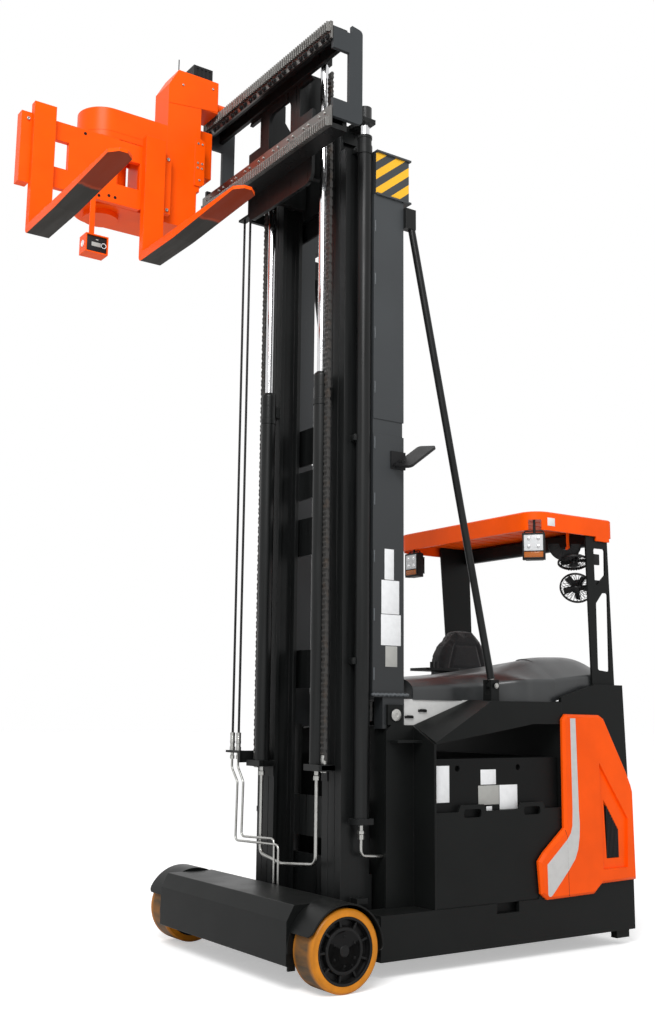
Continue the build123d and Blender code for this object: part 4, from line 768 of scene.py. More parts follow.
def leaf_outline(x, z, pitch, half):
    """One chain plate seen from the side: two round ends with a slight waist between them."""
    outline = []
    for centre, start in ((z + pitch, 0), (z, 180)):
        for i in range(5):
            a = math.radians(start + 45 * i)
            outline.append((x + half * math.cos(a), centre + half * 0.82 * math.sin(a)))
        side = -1 if start == 0 else 1
        outline.append((x + side * half * 0.72, z + pitch / 2))
    return outline


def far_end(joint):
    """The far end of a joint's travel, in metres."""
    for entry in frame["record"]["behaviour"]["joints"]:
        if entry["name"] == joint:
            return max(entry["range_m"], key=abs)
    raise KeyError(joint)


class FORKLIFT_OT_racks(Operator):
    """Screw the toothed racks down and put the fasteners on the traverse beams"""

    bl_idname = "forklift.racks"
    bl_label = "Rack Screws"

    def execute(self, context):
        screws = Shape()
        for y in self.pairs(9, 24):
            screws.socket_screw(at(RACK_FACE, y, 4062), AHEAD, 7)
        screws.made("rack_screws", "carriage", "plated steel", "pipe_steel")
        bolts = Shape()
        for y in self.pairs(13, 20):
            bolts.bolt(at(RACK_FACE, y, 4457), AHEAD, 11)
            bolts.turned(at(58, y, 4457), AHEAD, [(0, 0), (7, 0), (7, 9), (6, 10), (0, 10)], 12)
        bolts.made("rack_bolts", "carriage", "hub paint", "hub_paint")
        marks = Shape()
        for i in range(15):
            marks.rod(at(14, -595 + i * 36, 4100), AHEAD, 4.5, 1.0, 14)
        marks.made("energy_chain_pins", "carriage", "yellow paint", "box_paint")
        return {"FINISHED"}

    def pairs(self, count, apart):
        """Where pairs of fasteners sit along a rack, each this far to both sides of its pair's middle."""
        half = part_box("racks")[1][1] / MM
        places = []
        for i in range(count):
            middle = -half + 2 * half * (i + 0.5) / count
            places += [middle - apart, middle + apart]
        return places


class FORKLIFT_OT_mast(Operator):
    """Weld beads, pins, gland nuts and clamps on the mast"""

    bl_idname = "forklift.mast"
    bl_label = "Mast Fittings"

    def execute(self, context):
        weld = context.scene.forklift_sizes.weld / MM
        beads = Shape()
        for i in range(9):
            z = 1330 + i * 285
            path = ((-0.5, z), (0.6, z + 30), (-0.5, z + 60))
            beads.tube([(-372, BOX_FACE + proud, height) for proud, height in path], weld, 20, 8)
        for i in range(29):
            x = -571 + i * 7.6
            beads.turned(at(x, BOX_FACE + 8.5, 1262 + 2 * math.sin(i * 1.9)), (1, 0, 0.3 * math.sin(i)),
                         [(0, -6), (6.5, -4), (7.5, 0), (6.5, 4), (0, 6)], 10)
        beads.mirrored()
        # The weld beads take the paler box paint, a painted highlight.
        beads.made("mast_welds", "chassis", "weld paint with painted highlight", "box_paint")
        webs = Shape()
        webs.block((-454, -444), (296, BOX_FACE + 2), (150, 1116), 1.5)
        webs.mirrored()
        webs.made("mast_webs", "chassis", "frame paint", "frame_paint")
        steel = Shape()
        for side in (1, -1):
            steel.turned(at(PIN_X, side * 473, PIN_Z), (0, side, 0),
                         [(0, 0), (29, 0), (29, 3), (26, 5), (9, 5), (7, 2), (0, 2)], 32)
            steel.bolt(at(STRUT_X, side * 600, 1315), (0, side, 0), 9)
            steel.turned(at(STRUT_X, side * 560, 1352), (0.1, side * -0.028, 0.99),
                         [(0, -8), (15, -8), (15, 12), (11, 14), (11, 34), (0, 34)], 6)
        steel.made("mast_pins", "chassis", "plated steel", "pipe_steel")
        glands = Shape()
        for side in (-1, 1):
            glands.turned(at(LIFT_X, side * LIFT_Y, 4117), UP,
                          [(25.6, 0), (36, 0), (36, 4), (33, 9), (25.6, 9), (25.6, 0)], 36)
            for a in range(6):
                turn = math.radians(60 * a)
                spot = at(LIFT_X + 31 * math.cos(turn), side * LIFT_Y + 31 * math.sin(turn), 4124)
                glands.socket_screw(spot, UP, 3)
            for z in (4047, 2520, 1420):
                glands.block((LIFT_X - 50, LIFT_X + 50), (side * 379, side * LIFT_Y), (z - 16, z + 16), 3)
                glands.bolt(at(LIFT_X - 42, side * 400, z + 16), UP, 6)
        glands.made("cylinder_clamps", "chassis", "mast paint", "mast_paint")
        inner = Shape()
        for side in (-1, 1):
            inner.turned(at(FREE_X, side * FREE_Y, 2850), UP, [
                (22.6, 0), (38, 0), (38, 10), (34, 16), (26, 16), (26, 24), (22.6, 24), (22.6, 0),
            ], 36)
            inner.turned(at(FREE_X, side * FREE_Y, 2700), UP, [(37, 0), (41, 2), (41, 30), (37, 32)], 36)
            inner.block((-232, -150), (side * 205, side * 334), (900, 930), 4)
            for k in (-10, 10):
                inner.rod(at(FREE_X, side * CHAIN_Y + k, 915), UP, 6, 30)
        inner.made("free_lift_collars", "inner_mast", "mast paint", "mast_paint")
        anchors = Shape()
        for side in (-1, 1):
            anchors.block((-190, -170), (side * (CHAIN_Y - 16), side * (CHAIN_Y + 16)), (925, 975), 4)
            for k in (-10, 10):
                anchors.bolt(at(FREE_X, side * CHAIN_Y + k, 898), (0, 0, -1), 7)
        anchors.made("chain_anchors", "inner_mast", "plated steel", "pipe_steel")
        return {"FINISHED"}


class FORKLIFT_OT_pipes(Operator):
    """Steel pipes with their nuts, and the hoses' crimped ends"""

    bl_idname = "forklift.pipes"
    bl_label = "Pipes and Hoses"

    def execute(self, context):
        pipes = Shape()
        for path in (
            ((-473, 963), (-473, 885), (-412, 815), (-420, 520), (0, 535), (0, 152)),
            ((-410, 963), (-410, 890), (-352, 818), (-360, 545), (-40, 560), (-40, 152)),
        ):
            pipes.tube([(HOSE_X, y, z) for y, z in path], 6, 28)
        for side in (-1, 1):
            y = LIFT_Y * side
            pipes.tube([(LIFT_X, y, 600), (LIFT_X, y, 515), (-450, y + 2 * side, 505)], 8, 30)
            pipes.union(at(LIFT_X, y, 590), 17, 22, 13, 25, 67)
            pipes.rod(at(LIFT_X, y, 615), UP, 20, 14, 6)
        for y in HOSE_YS:
            pipes.union(at(HOSE_X, y, 930), 12, 18, 9, 20, 33)
        made = pipes.made("pipe_runs", "chassis", "plated steel", "pipe_steel")
        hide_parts("steel_pipes")
        lift = Shape()
        left, right = (FREE_X, FREE_Y), (FREE_X, -FREE_Y)
        lift.tube([(*right, 900), (*right, 470), (-174, -40, 440), (*left, 465), (*left, 900)], 9, 45)
        for x, y in (right, left):
            lift.union(at(x, y, 855), 16, 20, 12, 23, 45)
        made = lift.made("free_lift_pipe_run", "inner_mast", "plated steel", "pipe_steel")
        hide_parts("free_lift_pipe")
        ends = Shape()
        for y in HOSE_YS:
            ends.turned(at(HOSE_X, y, 975), UP, [
                (0, 0), (14.5, 0), (14.5, 18), (12, 20), (12, 34), (14, 36), (14, 50), (12, 52), (13, 55),
                (13, 61), (12, 63), (13, 65), (13, 71), (12, 73), (13, 75), (13, 91), (0, 93),
            ], 18)
        ends.made("hose_ends", "chassis", "plated steel", "pipe_steel")
        return {"FINISHED"}


class FORKLIFT_OT_wheels(Operator):
    """Rim rings and hub screws on the load wheels"""

    bl_idname = "forklift.wheels"
    bl_label = "Load Wheels"

    def execute(self, context):
        for side, name in ((1, "left"), (-1, "right")):
            low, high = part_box(f"hub_{name}")
            radius = (high[2] - low[2]) / 2 / MM
            centre_z = (high[2] + low[2]) / 2 / MM
            face = side * max(abs(low[1]), abs(high[1])) / MM
            out = (0, side, 0)
            rim = Shape()
            rim.turned(at(0, face, centre_z), out, [
                (radius - 13, -14), (radius - 11, -1), (radius - 7, 1.5), (radius - 2, 1.5), (radius, -1),
                (radius, -6), (radius - 13, -14),
            ], 96)
            cap = face - side * 8
            middle = at(0, cap, centre_z)
            rim.turned(middle, out, [(0, 0), (84, 0), (86, 1.2), (91, 1.2), (93, 0), (93, -1), (0, -1)], 72)
            for i in range(6):
                a = math.radians(60 * i + 30)
                rim.socket_screw(at(60 * math.cos(a), cap, centre_z + 60 * math.sin(a)), out, 5)
            rim.turned(middle, out, [(0, 3.2), (22, 3.2), (24, 1), (24, -1)], 36)
            rim.made(f"wheel_rim_{name}", f"wheel_{name}", "hub paint", "hub_paint")
        return {"FINISHED"}


HOOD_ROWS = (  # x, half width, height of the sides, crown on the right, crown on the left
    (-612, 450, 1300, 1345, 1345), (-830, 450, 1312, 1360, 1364), (-1030, 450, 1322, 1373, 1383),
    (-1125, 520, 1337, 1379, 1392), (-1215, 585, 1349, 1384, 1406), (-1294, 585, 1351, 1387, 1431),
    (-1390, 585, 1353, 1392, 1459), (-1450, 585, 1354, 1395, 1471),
)
COWL_ROWS = (  # x, half width, underside, height of the side, crown
    (-1450, 585, 1246, 1354, 1471), (-1545, 580, 1271, 1366, 1482), (-1640, 574, 1295, 1376, 1487),
    (-1760, 572, 1306, 1388, 1488), (-1830, 572, 1312, 1384, 1474), (-1866, 572, 1320, 1372, 1448),
    (-1885, 572, 1328, 1352, 1408),
)


class FORKLIFT_OT_hood(Operator):
    """Soft moulded hood over the battery, and the cowl that rises beside the driver"""

    bl_idname = "forklift.hood"
    bl_label = "Hood and Cowl"

    def execute(self, context):
        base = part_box("hood")[0][2] / MM
        hood = Shape()
        sections = []
        for x, half, side, right, left in smooth_rows(HOOD_ROWS, 44):
            outline = soft_corners((
                (-half, base, 0), (-half, side, 16), (-390, right, 46), (390, left, 60), (half, side, 16),
                (half, base, 0),
            ))
            sections.append([at(x, y, z) for y, z in outline])
        hood.loft(sections)
        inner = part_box("cowl")[0][1] / MM
        sections = []
        for x, half, low, side, crown in smooth_rows(COWL_ROWS, 26):
            outline = soft_corners((
                (inner, low, 0), (inner, crown - 44, 26), (inner + 52, crown, 30), (390, crown, 60),
                (half, side, 16), (half, low, 0),
            ))
            sections.append([at(x, y, z) for y, z in outline])
        hood.loft(sections)
        made = hood.made("hood_moulding", "chassis", "moulded cover", "cover_plastic", 50)
        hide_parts("hood", "cowl")
        panel = Shape()
        panel.plate([(-556, 1090), (-556, 1243), (-1020, 1243), (-1020, 1130)], "y", 436, 444)
        panel.mirrored()
        panel.made("hood_side_panels", "chassis", "panel grey", "box_paint")
        latches = Shape()
        for x, z in ((-588, 1160), (-672, 1191)):
            latches.block((x - 26, x + 26), (444, 452), (z - 9, z + 3), 2)
            latches.block((x - 14, x + 20), (452, 460), (z - 3, z + 5), 2)
        latches.mirrored()
        latches.made("hood_latches", "chassis", "black plastic", "black_plastic")
        return {"FINISHED"}


class FORKLIFT_OT_covers(Operator):
    """Silver bands and seams on the orange side covers"""

    bl_idname = "forklift.covers"
    bl_label = "Side Cover Trim"

    def execute(self, context):
        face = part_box("side_covers")[1][1] / MM
        band = Shape()
        band.plate([
            (-1484, 1158), (-1522, 1158), (-1531, 700), (-1535, 626), (-1531, 560), (-1518, 500),
            (-1496, 455), (-1451, 405), (-1334, 293), (-1322, 286), (-1310, 286), (-1303, 296),
            (-1301, 440), (-1443, 553), (-1470, 585), (-1482, 620), (-1486, 700),
        ], "y", face - 0.6, face + 0.5)
        band.mirrored()
        band.made("cover_bands", "chassis", "silver band", "orange_paint")
        seam = Shape()
        line = ((-1432, 600), (-1446, 566), (-1447, 410), (-1450, 280))
        seam.tube([(x, face - 0.8, z) for x, z in line], 1.4, 0, 8)
        seam.mirrored()
        seam.made("cover_seams", "chassis", "black plastic", "black_plastic")
        return {"FINISHED"}


class FORKLIFT_OT_plates(Operator):
    """Blank plates on the mast, the battery and the guard"""

    bl_idname = "forklift.plates"
    bl_label = "Blank Plates"

    def execute(self, context):
        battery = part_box("battery")[1][1] / MM
        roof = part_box("roof")[1][1] / MM
        white = Shape()
        for y, x, z in (
            (BOX_FACE, (-492, -435), (1820, 1972)), (BOX_FACE, (-525, -416), (1652, 1817)),
            (BOX_FACE, (-535, -414), (1499, 1649)), (battery, (-720, -632), (756, 928)),
            (battery, (-1020, -920), (834, 906)), (battery, (-1162, -1043), (712, 830)),
            (battery, (-992, -955), (709, 730)), (roof, (-1458, -1404), (2165, 2208)),
        ):
            white.block(x, (y - 0.4, y + 0.9), z, 1.2)
        white.made("white_plates", "chassis", "white plate", "box_paint")
        grey = Shape()
        for y, x, z in ((BOX_FACE, (-513, -441), (1396, 1496)), (battery, (-1040, -904), (738, 830))):
            grey.block(x, (y - 0.4, y + 0.8), z, 1.2)
        grey.made("grey_plates", "chassis", "grey plate", "box_paint")
        return {"FINISHED"}


LAMPS = ((-1345, 555, 40), (-1345, -465, 0))  # x, y and turn of each work lamp
LAMP_Z = 2052


class FORKLIFT_OT_lamps(Operator):
    """Lenses, fins and brackets of the work lamps"""

    bl_idname = "forklift.lamps"
    bl_label = "Work Lamps"

    def execute(self, context):
        clear, amber, case, bright = Shape(), Shape(), Shape(), Shape()
        for x, y, turn in LAMPS:
            a = math.radians(turn)
            ahead = Vector((math.cos(a), math.sin(a), 0))
            across = Vector((-math.sin(a), math.cos(a), 0))

            def spot(forward, aside, up):
                return at(x, y, LAMP_Z + up) + (ahead * forward + across * aside) * MM

            def tile(shape, depth, aside, up, thickness):
                centre = millimetres(spot(depth, sum(aside) / 2, sum(up) / 2))
                halves = (thickness / 2, (aside[1] - aside[0]) / 2, (up[1] - up[0]) / 2)
                shape.block(*((c - half, c + half) for c, half in zip(centre, halves)), 1, turn)

            tile(clear, 18, (-50, 50), (-26, 62), 3)
            tile(amber, 18, (-50, 50), (-62, -29), 3)
            for up in (-62, -27, 63):
                tile(case, 18.5, (-55, 55), (up - 2.5, up + 2.5), 6)
            for aside in (-53, 53):
                tile(case, 18.5, (aside - 3, aside + 3), (-64, 65), 6)
            for aside in (-25, 25):
                for up in (-3, 40):
                    cup = [(17, 0), (15, -0.5), (6, 1.5), (5, 3), (0, 3.6)]
                    bright.turned(spot(19, aside, up), ahead, cup, 24)
            for i in range(7):
                tile(case, -44, (-44 + 13 * i, -40 + 13 * i), (-50, 50), 22)
            hoop = ((-56, 66), (-46, 84), (46, 84), (56, 66))
            case.tube([millimetres(spot(-8, aside, up)) for aside, up in hoop], 4, 8, 10)
        clear.made("lamp_lenses", "chassis", "lamp lens", "black_plastic")
        amber.made("lamp_markers", "chassis", "amber lens", "black_plastic")
        bright.made("lamp_reflectors", "chassis", "hard chrome", "chrome")
        case.made("lamp_cases", "chassis", "black plastic", "black_plastic")
        return {"FINISHED"}


class FORKLIFT_OT_fans(Operator):
    """Two caged cab fans on the left pillar, and the dished beacon guard on its strap"""

    bl_idname = "forklift.fans"
    bl_label = "Cab Fans"

    def execute(self, context):
        fans = Shape()
        for centre, axis, radius in (((-1705, 492, 2012), (0.2, 0.25, -0.94), 84),
                                     ((-1728, 488, 1868), (0.62, 0.42, -0.5), 88)):
            self.fan(fans, Vector(centre), Vector(axis).normalized(), radius)
            fans.tube([centre, (-1790, 520, centre[2] + 6), (-1800, 572, centre[2] + 6)], 9, 20, 12)
            fans.block((-1822, -1778), (562, 574), (centre[2] - 24, centre[2] + 36), 3)
        middle = Vector((-1634, 496, 2098))
        face = Vector((0.55, 0.82, -0.1)).normalized()
        aside = Vector((-0.83, 0.55, 0.0))
        down = face.cross(aside).normalized()
        down = -down if down.z > 0 else down
        rings = []
        for radius, forward in ((92, 0), (92, 5), (70, 13), (34, 17), (34, 9), (70, 5), (90, -3)):
            ring = []
            for i in range(25):
                a = math.pi * i / 24
                spot = middle + spoke(aside, down, a) * radius + face * forward
                ring.append(at(*spot))
            rings.append(ring)
        fans.loft(rings + [rings[0]], closed=False, caps=False)
        for i in range(1, 12):
            out = spoke(aside, down, math.pi * i / 12)
            fans.tube([tuple(middle + out * 36 + face * 17), tuple(middle + out * 88 + face * 8)], 2.2, 0, 6)
        made = fans.made("fan_heads", "chassis", "black plastic", "black_plastic")
        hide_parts("cab_fans")
        strap = Shape()
        corners = ((-13, -3), (13, 3), (12, 6), (-14, 0))
        bends = ((-1634, 516, 2196), (-1636, 516, 2150), (-1642, 510, 2110), (-1648, 508, 2074))
        strap.loft([[at(x + dx, y + dy, z) for dx, dy in corners] for x, y, z in bends])
        strap.turned(at(-1648, 506, 2072), (0.3, 0.95, 0), [(0, 0), (15, 0), (15, 5), (11, 8), (0, 8)], 18)
        strap.made("beacon_strap", "chassis", "orange paint", "orange_paint")
        return {"FINISHED"}

    def fan(self, shape, centre, axis, radius):
        """A fan: a motor, a shallow bowl behind the blades, and a cage of bent wires in front."""
        spot = at(*centre)
        shape.turned(spot, axis, [
            (0, -46), (22, -44), (30, -34), (30, -6), (24, -2), (24, 30), (18, 36), (0, 38),
        ], 24)
        shape.turned(spot, axis, [
            (radius, 2), (radius + 4, 6), (radius + 4, 14), (radius, 18), (radius - 5, 14), (radius - 5, 6),
            (radius, 2),
        ], 40)
        aside = axis.orthogonal().normalized()
        up = axis.cross(aside)
        for i in range(24):
            out = spoke(aside, up, 2 * math.pi * i / 24)
            for hub, rim in ((30, 36), (-24, -18)):
                path = [centre + out * 20 + axis * hub, centre + out * radius * 0.65 + axis * rim,
                        centre + out * radius + axis * 10]
                shape.tube([tuple(point) for point in path], 1.5, 12, 5)
        for i in range(5):
            out = spoke(aside, up, 2 * math.pi * i / 5)
            turn = axis.cross(out)
            blade = [(16, -14, -6), (radius - 16, -22, -8), (radius - 9, 10, 10), (16, 12, 8)]
            rows = [[spot + (out * r + turn * t + axis * (d + k)) * MM for r, t, d in blade] for k in (0, 2)]
            shape.loft(rows)


class FORKLIFT_OT_seat(Operator):
    """Padded seat: blown-up covers with sewn channels"""

    bl_idname = "forklift.seat"
    bl_label = "Driver's Seat"

    def execute(self, context):
        swell = context.scene.forklift_sizes.seat_swell
        low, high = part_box("seat_cushion")
        corners = (low + Vector((0.012, 0.012, 0.004)), high - Vector((0.012, 0.012, 0.014)))
        cushion = padded_block("seat_pad", corners)
        finish_pad(cushion, swell, [
            ((0.16, 0.10), (0.16, 0.92)), ((0.84, 0.10), (0.84, 0.92)), ((0.16, 0.92), (0.84, 0.92)),
            ((0.16, 0.5), (0.84, 0.5)),
        ], 2)
        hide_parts("seat_cushion")
        back = padded_back("seat_back_pad")
        finish_pad(back, swell * 0.8, [
            ((0.17, 0.02), (0.2, 0.60)), ((0.2, 0.60), (0.3, 0.84)), ((0.3, 0.84), (0.7, 0.84)),
            ((0.7, 0.84), (0.8, 0.60)), ((0.8, 0.60), (0.83, 0.02)), ((0.2, 0.6), (0.8, 0.6)),
        ], 1)
        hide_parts("seat_backrest")
        return {"FINISHED"}


def padded_block(name, corners):
    """A cushion's first form: a block with rounded corners."""
    spans = [(low / MM, high / MM) for low, high in zip(*corners)]
    spans[0] = tuple(x - AXLE_X / MM for x in spans[0])
    shape = Shape()
    shape.block(*spans, 38)
    return shape.made(name, "chassis", "seat cloth", "seat_cloth")


BACK_ROWS = (  # half width and height of the backrest's outline
    (190, 1098), (206, 1250), (216, 1400), (214, 1470), (204, 1525), (172, 1580), (128, 1622), (98, 1655),
    (68, 1678),
)


def padded_back(name):
    """The backrest's first form: broad at the ribs, with drawn-in shoulders and a narrower head."""
    low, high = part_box("seat_backrest")
    middle = (low[0] + high[0]) / 2 / MM - AXLE_X / MM
    right = [(middle + half, z) for half, z in BACK_ROWS]
    left = [(middle - half, z) for half, z in reversed(BACK_ROWS)]
    shape = Shape()
    shape.plate(right + left, "y", low[1] / MM + 10, high[1] / MM - 6, 16)
    return shape.made(name, "chassis", "seat cloth", "seat_cloth")


SEAM = 0.009  # depth and half width of a sewn channel, in metres


def finish_pad(piece, swell, seams, side):
    """Blows the pad up like a filled cover and presses sewn channels into its front on one axis."""
    scene = bpy.context.scene
    bpy.context.view_layer.objects.active = piece
    remesh = piece.modifiers.new("even", "REMESH")
    remesh.mode, remesh.voxel_size = "VOXEL", 0.006
    bake_modifiers(piece)
    rest = [vert.co.copy() for vert in piece.data.vertices]
    cloth = piece.modifiers.new("cover", "CLOTH")
    cloth.settings.use_pressure = True
    cloth.settings.uniform_pressure_force = 4.0
    cloth.settings.effector_weights.gravity = 0.0
    cloth.settings.quality = 5
    for number in range(1, 21):
        scene.frame_set(number)
    bake_modifiers(piece)
    scene.frame_set(1)
    low = Vector([min(p[i] for p in rest) for i in range(3)])
    high = Vector([max(p[i] for p in rest) for i in range(3)])
    for vert, start in zip(piece.data.vertices, rest):
        move = vert.co - start
        if move.length > swell:
            vert.co = start + move * (swell / move.length)
    other = 3 - side
    wide, tall = high[0] - low[0], high[other] - low[other]
    for vert in piece.data.vertices:
        if vert.normal[side] < 0.4:
            continue
        u = (vert.co[0] - low[0]) / wide
        v = (vert.co[other] - low[other]) / tall
        near = min(seam_distance(u, v, seam, wide, tall) for seam in seams)
        vert.co[side] -= SEAM * math.exp(-((near / SEAM) ** 2))
    piece.data.update()
    smooth = piece.modifiers.new("soft", "SUBSURF")
    smooth.levels = smooth.render_levels = 1
    bake_modifiers(piece)
    piece.data.shade_smooth()


def seam_distance(u, v, seam, wide, tall):
    """How far a point is from a seam, in metres, both given as shares of the pad's width and height."""
    (ax, ay), (bx, by) = seam
    a, b, p = Vector((ax * wide, ay * tall)), Vector((bx * wide, by * tall)), Vector((u * wide, v * tall))
    along = max(0.0, min(1.0, (p - a).dot(b - a) / (b - a).length_squared))
    return (p - a - (b - a) * along).length


def bake_modifiers(piece):
    """Makes what the modifiers show the piece's own mesh."""
    graph = bpy.context.evaluated_depsgraph_get()
    data = bpy.data.meshes.new_from_object(piece.evaluated_get(graph))
    piece.modifiers.clear()
    piece.data = data


class FORKLIFT_OT_head(Operator):
    """Screws, camera and arm housing of the fork head"""

    bl_idname = "forklift.head"
    bl_label = "Fork Head"

    def execute(self, context):
        screws = Shape()
        for x, z, proud in (
            (112, 4655, 0), (300, 4620, 0), (172, 4296, 8), (198, 4296, 8), (172, 4180, 8), (198, 4180, 8),
            (172, 4152, 8), (198, 4152, 8), (186, 4080, 8),
        ):
            screws.socket_screw(at(x, HEAD_FACE + proud, z), OUT, 6)
        screws.made("head_screws", "head", "plated steel", "pipe_steel")
        screws = Shape()
        for x, z, proud in ((402, 4120, 0), (402, 3830, 0), (1190, 4110, 12)):
            screws.socket_screw(at(x, FORK_FACE + proud, z), OUT, 9)
        screws.made("carriage_screws", "forks", "plated steel", "pipe_steel")
        bolts = Shape()
        for x, z in ((880, 4128), (700, 3822), (735, 3824), (790, 3810)):
            bolts.turned(at(x, FORK_FACE, z), OUT,
                         [(0, 0), (8, 0), (8, 2), (5, 2.5), (4, 0.5), (0, 0.5)], 14)
        bolts.made("carriage_holes", "forks", "hub paint", "hub_paint")
        self.housing()
        self.camera_parts()
        return {"FINISHED"}

    def housing(self):
        """Closes the swivel arm's upper jaw down to just above the fork carriage's neck."""
        low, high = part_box("swivel_arm")
        radius = (high[1] - low[1]) / 2 / MM
        middle_y = (high[1] + low[1]) / 2 / MM
        middle_x = high[0] / MM - AXLE_X / MM - radius
        rings = []
        for shrink, z in ((0, 4224), (0, 4184), (12, 4184), (12, 4224)):
            r = radius - 1 - shrink
            ring = []
            for i in range(33):
                a = -math.pi / 2 + math.pi * i / 32
                ring.append(at(middle_x + r * math.cos(a), middle_y + r * math.sin(a), z))
            rings.append(ring + [at(388, middle_y + r, z), at(388, middle_y - r, z)])
        skirt = Shape()
        skirt.loft(rings, caps=False)
        skirt.loft([rings[3], rings[0]], caps=False)
        skirt.made("arm_housing", "head", "orange paint", "orange_paint")

    def camera_parts(self):
        """The camera's dark recessed face with its blank plate, and the pale lens in its side."""
        low, high = (millimetres(Vector(corner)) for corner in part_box("sensor_box"))
        front, left, right, base = high.y, low.x, high.x, low.z
        dark = Shape()
        dark.block((left + 7, right - 7), (front - 60, front - 7), (base + 7, base + 91), 2)
        dark.made("camera_body", "forks", "black plastic", "black_plastic")
        label = Shape()
        label.block((left + 38, right - 34), (front - 7.5, front - 5.5), (base + 36, base + 58), 1)
        label.block((left + 52, left + 66), (front - 7.5, front - 5.5), (base + 70, base + 76), 1)
        label.made("camera_plate", "forks", "grey plate", "box_paint")
        eyes = Shape()
        rim = [(0, 1), (13, 1), (15, 2.5), (17, 2.5), (17, -1)]
        eyes.turned(at(right + 0.5, front - 40, base + 50), AHEAD, rim, 28)
        eyes.turned(at(left - 0.5, front - 40, base + 50), (-1, 0, 0), rim, 28)
        rim = [(0, 1), (10, 1), (12, 3), (14, 3), (14, -1)]
        eyes.turned(at(left + 22, front - 9, base + 48), OUT, rim, 28)
        eyes.made("camera_lenses", "forks", "white plate", "box_paint")


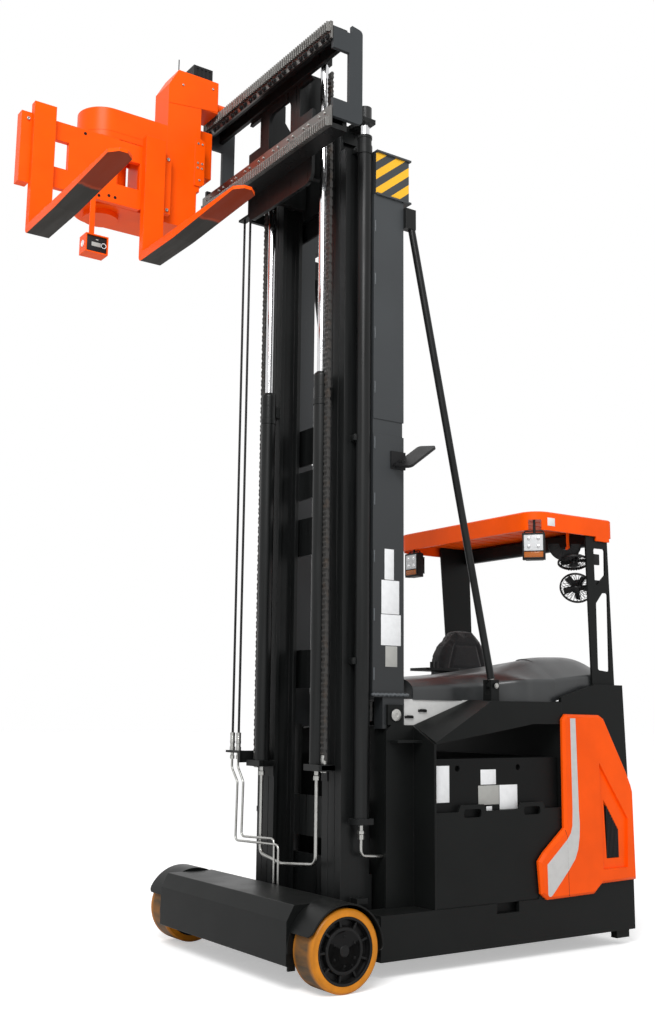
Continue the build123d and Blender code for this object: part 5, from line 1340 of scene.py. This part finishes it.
class FORKLIFT_OT_stage(Operator):
    """Floor, lamp and the camera at the photograph's angle"""

    bl_idname = "forklift.stage"
    bl_label = "Stage"

    def execute(self, context):
        scene = context.scene
        scene.view_settings.view_transform = "Standard"
        floor = bpy.data.meshes.new("floor")
        size = 60.0
        corners = [(-size, -size, 0), (size, -size, 0), (size, size, 0), (-size, size, 0)]
        floor.from_pydata(corners, [], [(0, 1, 2, 3)])
        ground = bpy.data.objects.new("floor", floor)
        scene.collection.objects.link(ground)
        ground.location.z = CAD_BOX[0][2] - 0.001
        floor.materials.append(self.floor_finish(scene.forklift_paint.floor))
        self.world(scene)
        key = bpy.data.lights.new("key", "AREA")
        key.shape, key.size, key.size_y = "RECTANGLE", 4.0, 4.0
        key.energy = scene.forklift_sizes.lamp_strength
        lamp = bpy.data.objects.new("key", key)
        scene.collection.objects.link(lamp)
        lamp.location = (5.0, 5.5, 7.5)
        lamp.rotation_euler = (Vector((0.2, 0, 2.3)) - lamp.location).to_track_quat("-Z", "Y").to_euler()
        self.camera(scene)
        return {"FINISHED"}

    def floor_finish(self, paint):
        """Pale floor that the camera sees as white, with the truck's shadow on it."""
        finish = Finish("studio floor")
        seen = finish.node("ShaderNodeLightPath", {}, {}, "Is Camera Ray")
        tone = finish.noise(2.0, 2).rise(0, 1).shades(paint, 0.985)
        glow = seen.mix((0, 0, 0), (0.42, 0.42, 0.42))
        finish.surface(Base_Color=tone, Roughness=0.8, Emission_Color=glow, Emission_Strength=1.0)
        return finish.material

    def world(self, scene):
        """Even light all round, which the camera and reflections see as white."""
        scene.world = scene.world or bpy.data.worlds.new("studio")
        scene.world.use_nodes = True
        tree = scene.world.node_tree
        tree.nodes.clear()
        path = tree.nodes.new("ShaderNodeLightPath")
        back = tree.nodes.new("ShaderNodeBackground")
        back.inputs["Color"].default_value = (1, 1, 1, 1)
        pick = tree.nodes.new("ShaderNodeMapRange")
        pick.inputs["To Min"].default_value = 0.6
        pick.inputs["To Max"].default_value = 1.0
        seen = path.outputs["Is Camera Ray"]
        for name in ("Is Glossy Ray", "Is Transmission Ray"):
            most = tree.nodes.new("ShaderNodeMath")
            most.operation = "MAXIMUM"
            tree.links.new(seen, most.inputs[0])
            tree.links.new(path.outputs[name], most.inputs[1])
            seen = most.outputs[0]
        tree.links.new(seen, pick.inputs["Value"])
        tree.links.new(pick.outputs["Result"], back.inputs["Strength"])
        out = tree.nodes.new("ShaderNodeOutputWorld")
        tree.links.new(back.outputs[0], out.inputs["Surface"])

    def camera(self, scene):
        """The photograph's camera, worked out from its parallel lines for an image of 655 by 1024."""
        view = bpy.data.cameras.new("camera")
        view.lens, view.sensor_width = 41.14, 36.0
        camera = bpy.data.objects.new("camera", view)
        scene.collection.objects.link(camera)
        ahead = Vector((-0.5551, -0.8143, 0.1699)).normalized()
        level = ahead.cross(Vector(UP)).normalized()
        roll = math.radians(0.6)
        up = level.cross(ahead)
        right = level * math.cos(roll) + up * math.sin(roll)
        up = right.cross(ahead)
        turn = Matrix((right, up, -ahead)).transposed().to_4x4()
        place = Vector((AXLE_X + 3.0130, 5.0054, 1.1684))
        camera.matrix_world = Matrix.Translation(place) @ turn
        scene.camera = camera


class FORKLIFT_PT_panel(Panel):
    """Lists the truck's colours, sizes and the steps that dress it"""

    bl_label = "Aisle Forklift"
    bl_space_type = "VIEW_3D"
    bl_region_type = "UI"
    bl_category = "Forklift"

    def draw(self, context):
        for group in (context.scene.forklift_paint, context.scene.forklift_sizes):
            column = self.layout.column(align=True)
            for key in type(group).__annotations__:
                column.prop(group, key)
        column = self.layout.column(align=True)
        for step in STEPS:
            column.operator(step.bl_idname)


STEPS = (
    FORKLIFT_OT_stage, FORKLIFT_OT_finishes, FORKLIFT_OT_chains, FORKLIFT_OT_racks, FORKLIFT_OT_mast,
    FORKLIFT_OT_pipes, FORKLIFT_OT_wheels, FORKLIFT_OT_hood, FORKLIFT_OT_covers, FORKLIFT_OT_plates,
    FORKLIFT_OT_lamps, FORKLIFT_OT_fans, FORKLIFT_OT_seat, FORKLIFT_OT_head,
)
CLASSES = (ForkliftPaint, ForkliftSizes, *STEPS, FORKLIFT_PT_panel)


def register():
    for item in CLASSES:
        bpy.utils.register_class(item)
    bpy.types.Scene.forklift_paint = PointerProperty(type=ForkliftPaint)
    bpy.types.Scene.forklift_sizes = PointerProperty(type=ForkliftSizes)


def unregister():
    del bpy.types.Scene.forklift_sizes
    del bpy.types.Scene.forklift_paint
    for item in reversed(CLASSES):
        bpy.utils.unregister_class(item)


def main():
    register()
    for step in STEPS:
        group, name = step.bl_idname.split(".")
        getattr(getattr(bpy.ops, group), name)()


if __name__ == "__main__":
    main()
